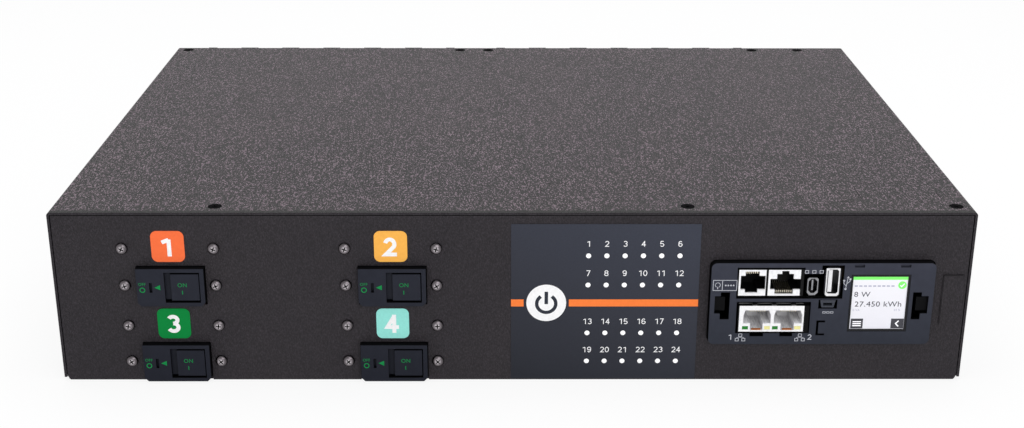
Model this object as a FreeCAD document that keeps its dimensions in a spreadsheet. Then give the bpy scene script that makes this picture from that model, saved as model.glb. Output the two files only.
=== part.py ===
import FreeCAD, Part
import math
import os
from types import SimpleNamespace

import Sketcher
from FreeCAD import Placement, Rotation, Vector

# Rack power distribution unit, two rack units high, in millimetres.
# The frame has +X to the right seen from the front, +Y from the front panel to the outlets and
# +Z up. Its origin is the centre of the casing's footprint, on the underside.

SIZES = {
    # Casing: a folded tray under a cover bent to a U
    "case_width": 440.0,
    "case_height": 88.0,
    "case_depth": 307.0,
    "tray_sheet": 1.2,
    "tray_bend": 0.8,
    "tray_flange": 14.0,
    "tray_side_height": 12.0,
    "tray_corner_cut": 1.6,
    "cover_sheet": 1.2,
    "cover_bend": 1.6,
    "cover_side_gap": 0.5,
    "cover_top_gap": 0.15,
    "cover_lift": 1.7,
    # Countersunk screws of the cover
    "cover_screw_head": 3.45,
    "cover_screw_core": 1.6,
    "cover_screw_length": 7.0,
    "cover_screw_front": 8.8,
    "cover_screw_rear": 5.0,
    "screw_clearance": 0.1,
    "panel_hole_play": 0.3,
    "pilot_play": 0.05,
    # Threaded seats for the rack ears
    "ear_bolt_radius": 2.0,
    "ear_nut_radius": 3.6,
    "ear_nut_depth": 2.2,
    "ear_nut_bore": 2.1,
    "ear_spacing_y": 32.0,
    "ear_spacing_z": 50.0,
    "ear_centre_y": -112.0,
    "ear_centre_z": 44.0,
    # Two-pole breakers in two columns and two rows
    "column_left": -164.2,
    "column_right": -58.3,
    "row_low": 10.6,
    "row_high": 50.8,
    "pole_pitch": 19.05,
    "breaker_half_width": 26.0,
    "breaker_half_pole": 9.2,
    "breaker_depth": 50.0,
    "breaker_screw_offset": 21.8,
    "bezel_proud": 3.2,
    "bezel_shift": 0.6,
    "bezel_width": 32.4,
    "bezel_height": 19.4,
    "bezel_corner": 1.8,
    "bezel_gap": 0.4,
    "well_left": -2.2,
    "well_right": 14.7,
    "well_height": 15.6,
    "well_depth": 14.0,
    "guard_sheet": 1.5,
    "guard_hollow": 10.6,
    "slot_x": -8.8,
    "slot_width": 1.4,
    "slot_height": 5.0,
    "rocker_height": 13.6,
    "rocker_recess": 0.4,
    "rocker_face_left": 1.3,
    "rocker_face_gap": 0.5,
    "rocker_sheet": 2.6,
    "rocker_arm": 9.6,
    "rocker_arm_sheet": 2.0,
    "rocker_hub": 3.0,
    "pivot_from_well": 1.7,
    "pivot_depth": 9.0,
    "trunnion_radius": 1.5,
    "trunnion_reach": 9.0,
    "trunnion_play": 0.05,
    "trunnion_end_play": 0.1,
    "panel_screw_head": 3.0,
    "panel_screw_crown": 2.0,
    "panel_screw_height": 1.8,
    "panel_screw_core": 1.4,
    "panel_screw_length": 7.5,
    "terminal_offset": 15.0,
    "terminal_well": 5.5,
    "terminal_well_depth": 6.0,
    "tab_width": 6.3,
    "tab_sheet": 0.8,
    "tab_length": 16.0,
    # Circuit number labels above the rockers
    "label_side": 15.8,
    "label_corner": 3.0,
    "label_sheet": 0.25,
    "label_shift": 0.2,
    "label_rise": 20.1,
    # Status field with one light window for each outlet
    "overlay_left": -0.8,
    "overlay_right": 89.5,
    "overlay_bottom": 0.8,
    "overlay_top": 82.3,
    "overlay_sheet": 0.25,
    "light_x": 36.15,
    "light_pitch": 8.72,
    "light_row_low": 10.5,
    "light_row_pitch": 15.15,
    "light_bank_pitch": 40.5,
    "light_radius": 1.45,
    "light_play": 0.05,
    "light_proud": 0.05,
    "light_slot_half": 1.9,
    "light_bar_half": 3.0,
    "light_bar_sheet": 2.4,
    "light_bar_margin": 3.2,
    "status_board_gap": 5.0,
    "status_board_side": 9.8,
    "status_board_margin": 7.0,
    "board_sheet": 1.6,
    "led_length": 2.0,
    "led_width": 1.3,
    "led_height": 1.1,
    # Clipped-in monitoring module
    "module_left": 94.8,
    "module_right": 202.0,
    "module_bottom": 21.1,
    "module_top": 63.6,
    "module_corner": 2.7,
    "module_proud": 3.5,
    "module_plate": 2.0,
    "module_wall": 1.5,
    "module_depth": 58.0,
    "module_gap": 0.45,
    "module_board_z": 43.65,
    "module_board_depth": 48.0,
    "jack_proud": 0.2,
    "jack_bottom": 46.9,
    "jack_top": 60.6,
    "jack_depth": 15.0,
    "jack_wall": 2.0,
    "jack_foot": 0.8,
    "service_wall": 1.1,
    "service_corner": 1.9,
    "service_depth": 9.0,
    "host_wall": 1.3,
    "host_corner": 1.5,
    "host_depth": 13.0,
    "tongue_setback": 0.8,
    "shell_back": 0.6,
    "plate_play": 0.4,
    "network_bottom": 27.5,
    "network_top": 41.7,
    "network_depth": 20.0,
    "network_wall": 3.0,
    "network_proud": 0.6,
    "network_light_depth": 6.0,
    "network_light_play": 0.05,
    "display_left": 162.85,
    "display_right": 189.2,
    "display_bottom": 29.0,
    "display_top": 56.6,
    "display_border": 1.1,
    "display_play": 0.1,
    "display_recess": 0.5,
    "display_depth": 5.0,
    # Bare badge plate
    "badge_left": 206.7,
    "badge_right": 217.0,
    "badge_bottom": 30.0,
    "badge_top": 56.2,
    "badge_sheet": 0.5,
    "badge_corner": 0.8,
    # Outlet banks at the rear, six outlets each
    "outlet_pitch": 27.2,
    "bank_left_x": -118.9,
    "bank_right_x": 72.3,
    "bank_low_z": 23.4,
    "bank_high_z": 66.3,
    "bank_height": 40.2,
    "bank_proud": 4.6,
    "bank_inset": 1.8,
    "bank_play": 0.2,
    "bank_depth": 21.0,
    "bank_rib": 0.9,
    "bank_rib_width": 3.2,
    "core_width": 16.0,
    "core_height": 23.6,
    "moat_width": 2.5,
    "moat_depth": 17.0,
    "core_chamfer": 4.2,
    "contact_slot_wide": 2.4,
    "contact_slot_tall": 4.6,
    "contact_spread": 14.0,
    "contact_offset": 4.0,
    "contact_sheet": 0.5,
    "contact_play": 0.15,
    "contact_length": 17.0,
    "contact_tail": 2.6,
    # Cord gland
    "gland_x": 187.5,
    "gland_z": 44.0,
    "gland_thread": 12.4,
    "gland_hex": 17.3,
    "gland_hex_depth": 6.0,
    "gland_nut_hex": 16.5,
    "gland_nut_gap": 1.0,
    "gland_dome_wall": 2.2,
    "gland_lip": 3.4,
    "gland_seal_play": 0.1,
    "gland_neck_depth": 8.0,
    "gland_mouth": 7.1,
    "gland_seal_bore": 6.6,
    "gland_seal_wall": 4.0,
    "gland_seal_depth": 6.0,
    "gland_cap": 3.5,
    "gland_lock_hex": 17.9,
    "gland_lock_depth": 5.0,
    "gland_inner_reach": 9.0,
    "thread_play": 0.1,
    # Boards and fittings inside
    "stand_height": 7.0,
    "stand_radius": 2.8,
    "board_screw_head": 2.6,
    "board_screw_height": 1.6,
    "board_screw_core": 1.3,
    "board_hole_play": 0.1,
    "stand_margin": 0.4,
    "outlet_board_drop": 16.4,
    "outlet_board_rise": 14.0,
    "supply_board_x": -78.0,
    "supply_board_y": 18.0,
    "supply_board_width": 96.0,
    "supply_board_depth": 78.0,
    "supply_board_inset": 5.0,
    "relay_width": 15.0,
    "relay_height": 19.0,
    "relay_depth": 15.5,
    "transformer_x": -97.0,
    "transformer_core_width": 30.0,
    "transformer_core_depth": 28.0,
    "transformer_core_height": 24.0,
    "transformer_coil_width": 22.0,
    "transformer_coil_depth": 40.0,
    "transformer_coil_height": 16.0,
    "capacitor_x": -54.0,
    "capacitor_width": 26.0,
    "capacitor_depth": 12.0,
    "capacitor_height": 22.0,
    "capacitor_pitch": 28.0,
    # Flat copper bars, from the terminal block to the breakers and on to the outlets
    "bar_width": 6.0,
    "bar_sheet": 1.5,
    "bar_lap": 8.0,
    "bar_gap": 1.0,
    "bar_first": 6.0,
    "bar_second": 12.0,
    "load_turn": 32.0,
    "load_right_x": 17.9,
    "block_pitch": 12.0,
    "block_height": 26.0,
    "block_crown": 12.0,
    "block_shelf": 6.0,
    "block_depth": 34.0,
    "block_from_rear": 62.0,
    "block_slot_height": 6.0,
    "block_slot_drop": 3.0,
    "clamp_hole": 6.0,
    "clamp_radius": 2.8,
    "clamp_length": 7.0,
    "clamp_offset": 6.0,
    "stud_radius": 2.5,
    "stud_collar": 5.0,
    "stud_length": 28.0,
    "stud_from_block": 14.0,
    "stud_nut_height": 4.0,
}

LIGHTS_IN_ROW = 6
OUTLETS_IN_BANK = 6
WINDOW_SIDES = 8
SCREW_SIDES = 12
GLAND_SIDES = 24
HEXAGON = 6
TERMINAL_POLES = 3
SPREADSHEET = "Sizes"

doc = FreeCAD.newDocument("rack_power_distribution_unit")
sheet = doc.addObject("Spreadsheet::Sheet", SPREADSHEET)
for row, (alias, number) in enumerate(SIZES.items(), start=1):
    sheet.set("A%d" % row, alias)
    sheet.set("B%d" % row, repr(number))
    sheet.setAlias("B%d" % row, alias)
doc.recompute()


class Size:
    """A length of the sheet, or arithmetic on such lengths: its number and its expression."""

    def __init__(self, number, text=None):
        self.number = float(number)
        self.text = text if text else "%.6f" % self.number

    def __add__(self, other):
        other = as_size(other)
        return Size(self.number + other.number, "(%s + %s)" % (self.text, other.text))

    def __sub__(self, other):
        other = as_size(other)
        return Size(self.number - other.number, "(%s - %s)" % (self.text, other.text))

    def __mul__(self, factor):
        factor = as_size(factor)
        return Size(self.number * factor.number, "(%s * %s)" % (self.text, factor.text))

    def __truediv__(self, factor):
        return Size(self.number / factor, "(%s / %.6f)" % (self.text, factor))

    def __neg__(self):
        return Size(-self.number, "(0 - %s)" % self.text)

    def __radd__(self, other):
        return as_size(other) + self

    def __rsub__(self, other):
        return as_size(other) - self

    __rmul__ = __mul__


def as_size(value):
    return value if isinstance(value, Size) else Size(value)


def lower_of(first, second):
    return first if first.number < second.number else second


size = SimpleNamespace(**{
    alias: Size(sheet.get(alias), "%s.%s" % (SPREADSHEET, alias)) for alias in SIZES
})

# Planes that several pieces are set from
front = -size.case_depth / 2
rear = size.case_depth / 2
panel_back = front + size.tray_sheet
rear_inside = rear - size.tray_sheet
floor = size.tray_sheet
flange_top = size.case_height - size.cover_sheet - size.cover_top_gap
tray_half = size.case_width / 2 - size.cover_sheet - size.cover_side_gap
bezel_front = front - size.bezel_proud
module_front = front - size.module_proud
plate_back = module_front + size.module_plate
bank_face = rear + size.bank_proud
bank_back = rear - size.bank_depth
columns = (size.column_left, size.column_right)
rows = (size.row_high, size.row_low)
breakers = [(column, row) for row in rows for column in columns]
banks = [(x, z) for z in (size.bank_high_z, size.bank_low_z) for x in (size.bank_left_x, size.bank_right_x)]

nodes = []


def node(thing, label):
    """Keep a finished piece under its own name."""
    thing.Label = label
    nodes.append(thing)
    return thing


def bind(thing, **sizes):
    for name, value in sizes.items():
        thing.setExpression(name, as_size(value).text)


def move(thing, x, y, z):
    for letter, value in zip("xyz", (x, y, z)):
        thing.setExpression("Placement.Base." + letter, as_size(value).text)
    return thing


TURNED = {
    "x": Rotation(Vector(0, 1, 0), 90),
    "y": Rotation(Vector(1, 0, 0), -90),
    "z": Rotation(),
}


def block(name, across, along, up):
    """A box between two planes on each axis."""
    thing = doc.addObject("Part::Box", name)
    bind(thing, Length=across[1] - across[0], Width=along[1] - along[0], Height=up[1] - up[0])
    return move(thing, across[0], along[0], up[0])


def centred(name, x, y, width, depth, up):
    """A box on a level, round the point x, y."""
    return block(name, (x - width / 2, x + width / 2), (y - depth / 2, y + depth / 2), up)


def rod(name, axis, start, radius, length):
    thing = doc.addObject("Part::Cylinder", name)
    bind(thing, Radius=radius, Height=length)
    thing.Placement = Placement(Vector(), TURNED[axis])
    return move(thing, *start)


def prism(name, start, sides, circumradius, length, axis="y"):
    """A bar with a regular section."""
    thing = doc.addObject("Part::Prism", name)
    thing.Polygon = sides
    bind(thing, Circumradius=circumradius, Height=length)
    thing.Placement = Placement(Vector(), TURNED[axis] * flat_side_out(sides))
    return move(thing, *start)


def flat_side_out(sides):
    """The turn that gives a regular section the same corners as many_sided."""
    return Rotation(Vector(0, 0, 1), 180 / sides)


def taper(name, start, sides, radius, end_radius, length, axis="y"):
    """A bar with a regular section that widens or narrows towards its far end."""
    rings = []
    for level, reach in ((0, radius), (length, end_radius)):
        ring = doc.addObject("Part::RegularPolygon", name + "_ring")
        ring.Polygon = sides
        bind(ring, Circumradius=reach)
        ring.Placement = Placement(Vector(), TURNED[axis] * flat_side_out(sides))
        rings.append(move(ring, *[value + level if letter == axis else value
                                  for letter, value in zip("xyz", start)]))
    thing = doc.addObject("Part::Loft", name)
    thing.Sections = rings
    thing.Solid = True
    thing.Ruled = True
    return thing


def fuse(name, pieces):
    thing = doc.addObject("Part::MultiFuse", name)
    thing.Shapes = pieces
    return thing


def cut(name, base, tools):
    thing = doc.addObject("Part::Cut", name)
    thing.Base = base
    thing.Tool = tools[0] if len(tools) == 1 else fuse(name + "_tools", tools)
    return thing


def group(name, pieces):
    thing = doc.addObject("Part::Compound", name)
    thing.Links = pieces
    return thing


# Sketches, pads and pockets


def new_body(name):
    return doc.addObject("PartDesign::Body", name)


def polygon(points):
    """An outline of straight lines through points, each held from the sketch's origin."""
    def draw(sketch):
        first = sketch.GeometryCount
        corners = [(as_size(x), as_size(y)) for x, y in points]
        count = len(corners)
        for index, (x, y) in enumerate(corners):
            next_x, next_y = corners[(index + 1) % count]
            start = Vector(x.number, y.number, 0)
            sketch.addGeometry(Part.LineSegment(start, Vector(next_x.number, next_y.number, 0)), False)
        sketch.addConstraint([Sketcher.Constraint("Coincident", first + index, 2, first + (index + 1) % count, 1)
                              for index in range(count)])
        hold_points(sketch, [(first + index, 1, x, y) for index, (x, y) in enumerate(corners)])
    return draw


def rectangle(across, up):
    (left, right), (low, high) = across, up
    return polygon([(left, low), (right, low), (right, high), (left, high)])


def many_sided(x, y, radius, sides):
    """A regular outline whose corners lie on a circle."""
    turn = 2 * math.pi / sides
    return polygon([(x + radius * math.cos(turn * (step + 0.5)), y + radius * math.sin(turn * (step + 0.5)))
                    for step in range(sides)])


def circle(x, y, radius):
    def draw(sketch):
        place_x, place_y, reach = as_size(x), as_size(y), as_size(radius)
        centre = Vector(place_x.number, place_y.number, 0)
        item = sketch.addGeometry(Part.Circle(centre, Vector(0, 0, 1), reach.number), False)
        hold(sketch, Sketcher.Constraint("Radius", item, reach.number), reach)
        hold_points(sketch, [(item, 3, place_x, place_y)])
    return draw


def rounded(across, up, radius):
    """A rectangle with four equal round corners."""
    def draw(sketch):
        (left, right), (low, high) = [[as_size(end) for end in span] for span in (across, up)]
        reach = as_size(radius)
        round_by = reach.number
        corners = [(right, low, -90), (right, high, 0), (left, high, 90), (left, low, 180)]
        arcs = []
        for x, y, angle in corners:
            inward_x = x.number - round_by if x is right else x.number + round_by
            inward_y = y.number - round_by if y is high else y.number + round_by
            ring = Part.Circle(Vector(inward_x, inward_y, 0), Vector(0, 0, 1), round_by)
            arc = Part.ArcOfCircle(ring, math.radians(angle), math.radians(angle + 90))
            arcs.append(sketch.addGeometry(arc, False))
        lines = []
        for index, item in enumerate(arcs):
            following = arcs[(index + 1) % 4]
            start = sketch.getPoint(item, 2)
            end = sketch.getPoint(following, 1)
            line = sketch.addGeometry(Part.LineSegment(start, end), False)
            lines.append(line)
            sketch.addConstraint(Sketcher.Constraint("Tangent", item, 2, line, 1))
            sketch.addConstraint(Sketcher.Constraint("Tangent", line, 2, following, 1))
        for index, line in enumerate(lines):
            level = "Vertical" if index % 2 == 0 else "Horizontal"
            sketch.addConstraint(Sketcher.Constraint(level, line))
        hold(sketch, Sketcher.Constraint("Radius", arcs[0], round_by), reach)
        for item in arcs[1:3]:
            sketch.addConstraint(Sketcher.Constraint("Equal", arcs[0], item))
        for kind, line, value in (("DistanceX", lines[0], right), ("DistanceY", lines[1], high),
                                  ("DistanceX", lines[2], left), ("DistanceY", lines[3], low)):
            hold(sketch, Sketcher.Constraint(kind, -1, 1, line, 1, value.number), value)
    return draw


def hold(sketch, constraint, value):
    number = sketch.addConstraint(constraint)
    sketch.setExpression("Constraints[%d]" % number, value.text)


def hold_points(sketch, places):
    """Hold points of the sketch at their distances from its origin, all in one step."""
    constraints = []
    values = []
    for item, point, x, y in places:
        constraints.append(Sketcher.Constraint("DistanceX", -1, 1, item, point, x.number))
        constraints.append(Sketcher.Constraint("DistanceY", -1, 1, item, point, y.number))
        values += [x, y]
    for number, value in zip(sketch.addConstraint(constraints), values):
        sketch.setExpression("Constraints[%d]" % number, value.text)


def new_sketch(body, plane, outlines, offset):
    sketch = body.newObject("Sketcher::SketchObject", body.Name + "_outline")
    role = plane.upper() + "_Plane"
    origin_plane = [item for item in body.Origin.OriginFeatures if item.Role == role][0]
    sketch.AttachmentSupport = [(origin_plane, "")]
    sketch.MapMode = "FlatFace"
    bind_offset = as_size(offset)
    sketch.AttachmentOffset = Placement(Vector(0, 0, bind_offset.number), Rotation())
    sketch.setExpression("AttachmentOffset.Base.z", bind_offset.text)
    for draw in outlines:
        draw(sketch)
    return sketch


def pad(body, plane, outlines, low, high):
    """Add the outlines between two levels along the plane's axis. An XZ sketch faces -Y."""
    offset = -high if plane == "xz" else low
    sketch = new_sketch(body, plane, outlines, offset)
    feature = body.newObject("PartDesign::Pad", body.Name + "_pad")
    feature.Profile = sketch
    bind(feature, Length=high - low)
    return feature


def pocket(body, plane, outlines, low, high):
    """Remove the outlines between two levels along the plane's axis."""
    offset = -low if plane == "xz" else high
    sketch = new_sketch(body, plane, outlines, offset)
    feature = body.newObject("PartDesign::Pocket", body.Name + "_pocket")
    feature.Profile = sketch
    bind(feature, Length=high - low)
    return feature


def along_x(body, features, count, pitch):
    """Repeat pockets or pads along +X."""
    pattern = body.newObject("PartDesign::LinearPattern", body.Name + "_pattern")
    pattern.Originals = features
    pattern.Direction = (features[0].Profile[0], ["H_Axis"])
    pattern.Occurrences = count
    bind(pattern, Length=pitch * (count - 1))
    body.Tip = pattern
    return pattern


def bend(body, radius, places):
    """Round the edges whose middle lies at the given places."""
    doc.recompute()
    base = body.Tip
    names = []
    for index, edge in enumerate(base.Shape.Edges, start=1):
        middle = edge.BoundBox.Center
        if any((middle - place).Length < 0.01 for place in places):
            names.append("Edge%d" % index)
    fillet = body.newObject("PartDesign::Fillet", body.Name + "_bend")
    fillet.Base = (base, names)
    bind(fillet, Radius=radius)
    return fillet


def at(x, y, z):
    """A point from sizes and numbers, for finding an edge."""
    return Vector(*[as_size(value).number for value in (x, y, z)])


# Casing

cover_screw_points = (
    [(x, front + size.cover_screw_front) for x in (-142.0, 83.5, 212.0)]
    + [(x, rear - size.cover_screw_rear) for x in (-212.0, -33.2, -14.6, 159.0, 188.9)]
)


def make_tray():
    """Front panel, floor and rear panel folded from one sheet, with low side flanges."""
    body = new_body("chassis_tray")
    wall = size.tray_sheet
    lip = flange_top - wall
    pad(body, "yz", [polygon([
        (front, 0), (rear, 0), (rear, flange_top), (rear - size.tray_flange, flange_top),
        (rear - size.tray_flange, lip), (rear_inside, lip), (rear_inside, wall),
        (panel_back, wall), (panel_back, lip), (front + size.tray_flange, lip),
        (front + size.tray_flange, flange_top), (front, flange_top),
    ])], -tray_half, tray_half)
    bend(body, size.tray_bend, [at(0, front, 0), at(0, rear, 0), at(0, front, flange_top),
                                at(0, rear, flange_top)])
    end_gap = size.tray_flange
    sides = [(-tray_half, wall - tray_half), (tray_half - wall, tray_half)]
    pad(body, "xy", [rectangle(side, (front + end_gap, rear - end_gap)) for side in sides],
        0, size.tray_side_height)
    pocket(body, "xz", panel_cutouts(), front - 1, panel_back + size.bezel_gap)
    hole = size.panel_screw_core + size.panel_hole_play
    for column, row in breakers:
        pocket(body, "xz", [many_sided(x, z, hole, HEXAGON) for x, z in screw_places(column, row)],
               front - 1, panel_back + size.bezel_gap)
    pocket(body, "xz", rear_cutouts(), rear_inside - 1, rear + 1)
    pocket(body, "xy", [many_sided(x, y, size.cover_screw_core + size.screw_clearance, HEXAGON)
                        for x, y in cover_screw_points], lip - 1, flange_top + 1)
    return node(body, "chassis_tray")


def panel_cutouts():
    """Openings of the front panel: rockers, lights, module and the cut lower corners."""
    outlines = []
    gap = size.bezel_gap
    half = size.bezel_height / 2 + gap
    for column, row in breakers:
        middle = column + size.bezel_shift
        across = (middle - size.bezel_width / 2 - gap, middle + size.bezel_width / 2 + gap)
        low = -1 if row is size.row_low else row - half
        outlines.append(rectangle(across, (low, row + half)))
    for z in light_rows():
        ends = (size.light_x - size.light_slot_half,
                size.light_x + size.light_pitch * (LIGHTS_IN_ROW - 1) + size.light_slot_half)
        outlines.append(rectangle(ends, (z - size.light_slot_half, z + size.light_slot_half)))
    outlines.append(rounded(
        (size.module_left - size.module_gap, size.module_right + size.module_gap),
        (size.module_bottom - size.module_gap, size.module_top + size.module_gap),
        size.module_corner + size.module_gap))
    corner = size.tray_corner_cut
    for side in (-1, 1):
        edge = tray_half * side
        outlines.append(polygon([(edge - corner * side, -0.5), (edge + corner * side, -0.5),
                                 (edge + corner * side, corner + 0.5), (edge, corner + 0.5)][::side]))
    return outlines


def rear_cutouts():
    """Openings of the rear panel: four outlet banks and the cord gland."""
    outlines = []
    for x, z in banks:
        half_width = size.outlet_pitch * OUTLETS_IN_BANK / 2 - size.bank_inset
        half_height = size.bank_height / 2 - size.bank_inset
        outlines.append(rectangle((x - half_width, x + half_width), (z - half_height, z + half_height)))
    outlines.append(many_sided(size.gland_x, size.gland_z, size.gland_thread + size.thread_play, GLAND_SIDES))
    return outlines


def make_cover():
    """Top and both sides, bent from one sheet."""
    body = new_body("top_cover_sheet")
    half = size.case_width / 2
    wall = size.cover_sheet
    top = size.case_height
    pad(body, "xz", [polygon([
        (-half, size.cover_lift), (wall - half, size.cover_lift), (wall - half, top - wall),
        (half - wall, top - wall), (half - wall, size.cover_lift), (half, size.cover_lift),
        (half, top), (-half, top),
    ])], front, rear)
    bend(body, size.cover_bend, [at(-half, 0, top), at(half, 0, top)])
    pocket(body, "yz", [circle(y, z, size.ear_bolt_radius) for y, z in ear_points()],
           -half - 1, half + 1)
    sinks = []
    for x, y in cover_screw_points:
        lower = size.cover_screw_head + size.screw_clearance - wall
        sinks.append(taper("countersink", (x, y, top - wall), SCREW_SIDES, lower, lower + wall, wall, "z"))
    return node(cut("top_cover", body, sinks), "top_cover")


def ear_points():
    """Four places on each side, where a rack ear is bolted."""
    return [(size.ear_centre_y + size.ear_spacing_y / 2 * along, size.ear_centre_z + size.ear_spacing_z / 2 * up)
            for along in (-1, 1) for up in (-1, 1)]


def make_cover_screws():
    screws = []
    for x, y in cover_screw_points:
        top = size.case_height - size.screw_clearance
        neck = size.cover_sheet - size.screw_clearance
        head = taper("screw_head", (x, y, top - neck), SCREW_SIDES, size.cover_screw_head - neck,
                     size.cover_screw_head, neck, "z")
        core = prism("screw_core", (x, y, top - size.cover_screw_length), HEXAGON,
                     size.cover_screw_core, size.cover_screw_length - neck, "z")
        screws.append(fuse("cover_screw", [head, core]))
    return node(group("cover_screws", screws), "cover_screws")


def make_ear_nuts():
    """Clinch nuts pressed into the cover's sides."""
    nuts = []
    inner = size.case_width / 2 - size.cover_sheet
    for side, start in ((-1, -inner), (1, inner - size.ear_nut_depth)):
        for y, z in ear_points():
            ring = prism("nut_flats", (start, y, z), HEXAGON, size.ear_nut_radius, size.ear_nut_depth, "x")
            hole = prism("nut_hole", (start - 1, y, z), SCREW_SIDES, size.ear_nut_bore,
                         size.ear_nut_depth + 2, "x")
            nuts.append(cut("ear_nut", ring, [hole]))
    return node(group("ear_nuts", nuts), "ear_nuts")


# Breakers


def screw_places(column, row):
    """The four screws of one breaker, two for each pole."""
    return [(column + size.breaker_screw_offset * side, row + size.pole_pitch * pole)
            for side in (-1, 1) for pole in (0, 1)]


def make_breaker_case(number, column, row):
    """Two moulded poles side by side, with the guard and the rocker's well on the lower pole."""
    body = new_body("breaker_case_%d" % number)
    half = size.breaker_half_width
    case_front = panel_back
    case_back = panel_back + size.breaker_depth
    pad(body, "xz", [rectangle((column - half, column + half),
                               (row - size.breaker_half_pole, row + size.pole_pitch + size.breaker_half_pole))],
        case_front, case_back)
    left = column + size.bezel_shift - size.bezel_width / 2
    right = column + size.bezel_shift + size.bezel_width / 2
    low = row - size.bezel_height / 2
    high = row + size.bezel_height / 2
    corner = size.bezel_corner
    pad(body, "xz", [polygon([(left + corner, low), (right - corner, low), (right, low + corner),
                              (right, high), (left, high), (left, low + corner)])],
        bezel_front, case_front)
    well_up = (row - size.well_height / 2, row + size.well_height / 2)
    pocket(body, "xz", [rectangle((column + size.well_left, column + size.well_right), well_up)],
           bezel_front, bezel_front + size.well_depth)
    pocket(body, "xz", [rectangle((column + size.well_left - size.guard_hollow, column + size.well_left + 1),
                                  well_up)],
           bezel_front + size.guard_sheet, bezel_front + size.well_depth)
    slot_x = column + size.slot_x
    pocket(body, "xz", [rectangle((slot_x - size.slot_width / 2, slot_x + size.slot_width / 2),
                                  (row - size.slot_height / 2, row + size.slot_height / 2))],
           bezel_front, bezel_front + size.guard_sheet + 1)
    pivot_x, pivot_y = pivot_of(column)
    reach = size.trunnion_reach + size.trunnion_end_play
    pocket(body, "xy", [circle(pivot_x, pivot_y, size.trunnion_radius + size.trunnion_play)],
           row - reach, row + reach)
    pocket(body, "xz", [many_sided(x, z, size.panel_screw_core + size.pilot_play, HEXAGON)
                        for x, z in screw_places(column, row)],
           case_front, case_front + size.panel_screw_length)
    well = size.terminal_well
    pocket(body, "xz", [rectangle((x - well, x + well), (z - well, z + well))
                        for x, z in terminals(column, row)],
           case_back - size.terminal_well_depth, case_back)
    return node(body, "breaker_case_%d" % number)


def terminals(column, row):
    """Line terminals on the right and load terminals on the left, one of each for a pole."""
    return [(column + size.terminal_offset * side, row + size.pole_pitch * pole)
            for side in (-1, 1) for pole in (0, 1)]


def pivot_of(column):
    return column + size.well_left + size.pivot_from_well, bezel_front + size.pivot_depth


def make_rocker(number, column, row):
    """The rocker lies flush at ON. Its left arm runs under the guard, for the tool that trips it."""
    body = new_body("breaker_rocker_%d" % number)
    x, y = pivot_of(column)
    face = bezel_front + size.rocker_recess
    arm = bezel_front + size.guard_sheet + size.rocker_recess
    right = column + size.well_right - size.rocker_face_gap
    left = x - size.rocker_arm
    face_left = x + size.rocker_face_left
    hub = size.rocker_hub
    half = size.rocker_height / 2
    pad(body, "xy", [polygon([
        (face_left, face), (right, face), (right, face + size.rocker_sheet),
        (x + hub + 1, face + size.rocker_sheet), (x + hub, y), (x + hub / 2, y + hub * 0.8),
        (x - hub / 2, y + hub * 0.8), (x - hub, y),
        (x - hub - 1, arm + size.rocker_arm_sheet), (left, arm + size.rocker_arm_sheet), (left, arm),
        (face_left - 0.2, arm),
    ])], row - half, row + half)
    pad(body, "xy", [circle(x, y, size.trunnion_radius)], row - size.trunnion_reach, row + size.trunnion_reach)
    return node(body, "breaker_rocker_%d" % number)


def make_breaker_screws():
    screws = []
    for column, row in breakers:
        for x, z in screw_places(column, row):
            head = taper("screw_head", (x, front - size.panel_screw_height, z), SCREW_SIDES,
                         size.panel_screw_crown, size.panel_screw_head, size.panel_screw_height)
            core = prism("screw_core", (x, front, z), HEXAGON, size.panel_screw_core, size.panel_screw_length)
            screws.append(fuse("breaker_screw", [head, core]))
    return node(group("breaker_screws", screws), "breaker_screws")


def make_breaker_terminals():
    """Flat tabs that stand out of the wells at the back."""
    start = panel_back + size.breaker_depth - size.terminal_well_depth
    half = size.tab_width / 2
    tabs = [block("tab", (x, x + size.tab_sheet), (start, start + size.tab_length), (z - half, z + half))
            for column, row in breakers for x, z in terminals(column, row)]
    return node(group("breaker_terminals", tabs), "breaker_terminals")


def make_labels():
    for number, (column, row) in enumerate(breakers, start=1):
        body = new_body("circuit_label_%d" % number)
        x = column + size.label_shift
        z = row + size.label_rise
        half = size.label_side / 2
        pad(body, "xz", [rounded((x - half, x + half), (z - half, z + half), size.label_corner)],
            front - size.label_sheet, front)
        node(body, "circuit_label_%d" % number)


# Status field


def light_rows():
    return [size.light_row_low + size.light_bank_pitch * bank + size.light_row_pitch * step
            for bank in (1, 0) for step in (1, 0)]


def light_columns():
    return [size.light_x + size.light_pitch * step for step in range(LIGHTS_IN_ROW)]


def make_overlay():
    """Printed film, its windows cut in one column and repeated along the rows."""
    body = new_body("status_overlay")
    low = front - size.overlay_sheet
    pad(body, "xz", [rectangle((size.overlay_left, size.overlay_right),
                               (size.overlay_bottom, size.overlay_top))], low, front)
    windows = pocket(body, "xz", [many_sided(size.light_x, z, size.light_radius + size.light_play, WINDOW_SIDES)
                                  for z in light_rows()], low, front)
    along_x(body, [windows], LIGHTS_IN_ROW, size.light_pitch)
    return node(body, "status_overlay")


def make_light_strips():
    """One clear moulding for each row, with six round windows."""
    strips = []
    ends = (size.light_x - size.light_bar_margin,
            size.light_x + size.light_pitch * (LIGHTS_IN_ROW - 1) + size.light_bar_margin)
    for z in light_rows():
        bar = block("light_bar", ends, (panel_back, panel_back + size.light_bar_sheet),
                    (z - size.light_bar_half, z + size.light_bar_half))
        start = front - size.overlay_sheet - size.light_proud
        windows = [prism("light_window", (x, start, z), WINDOW_SIDES, size.light_radius, panel_back - start)
                   for x in light_columns()]
        strips.append(fuse("light_strip", [bar] + windows))
    return node(group("light_strips", strips), "light_strips")


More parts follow.
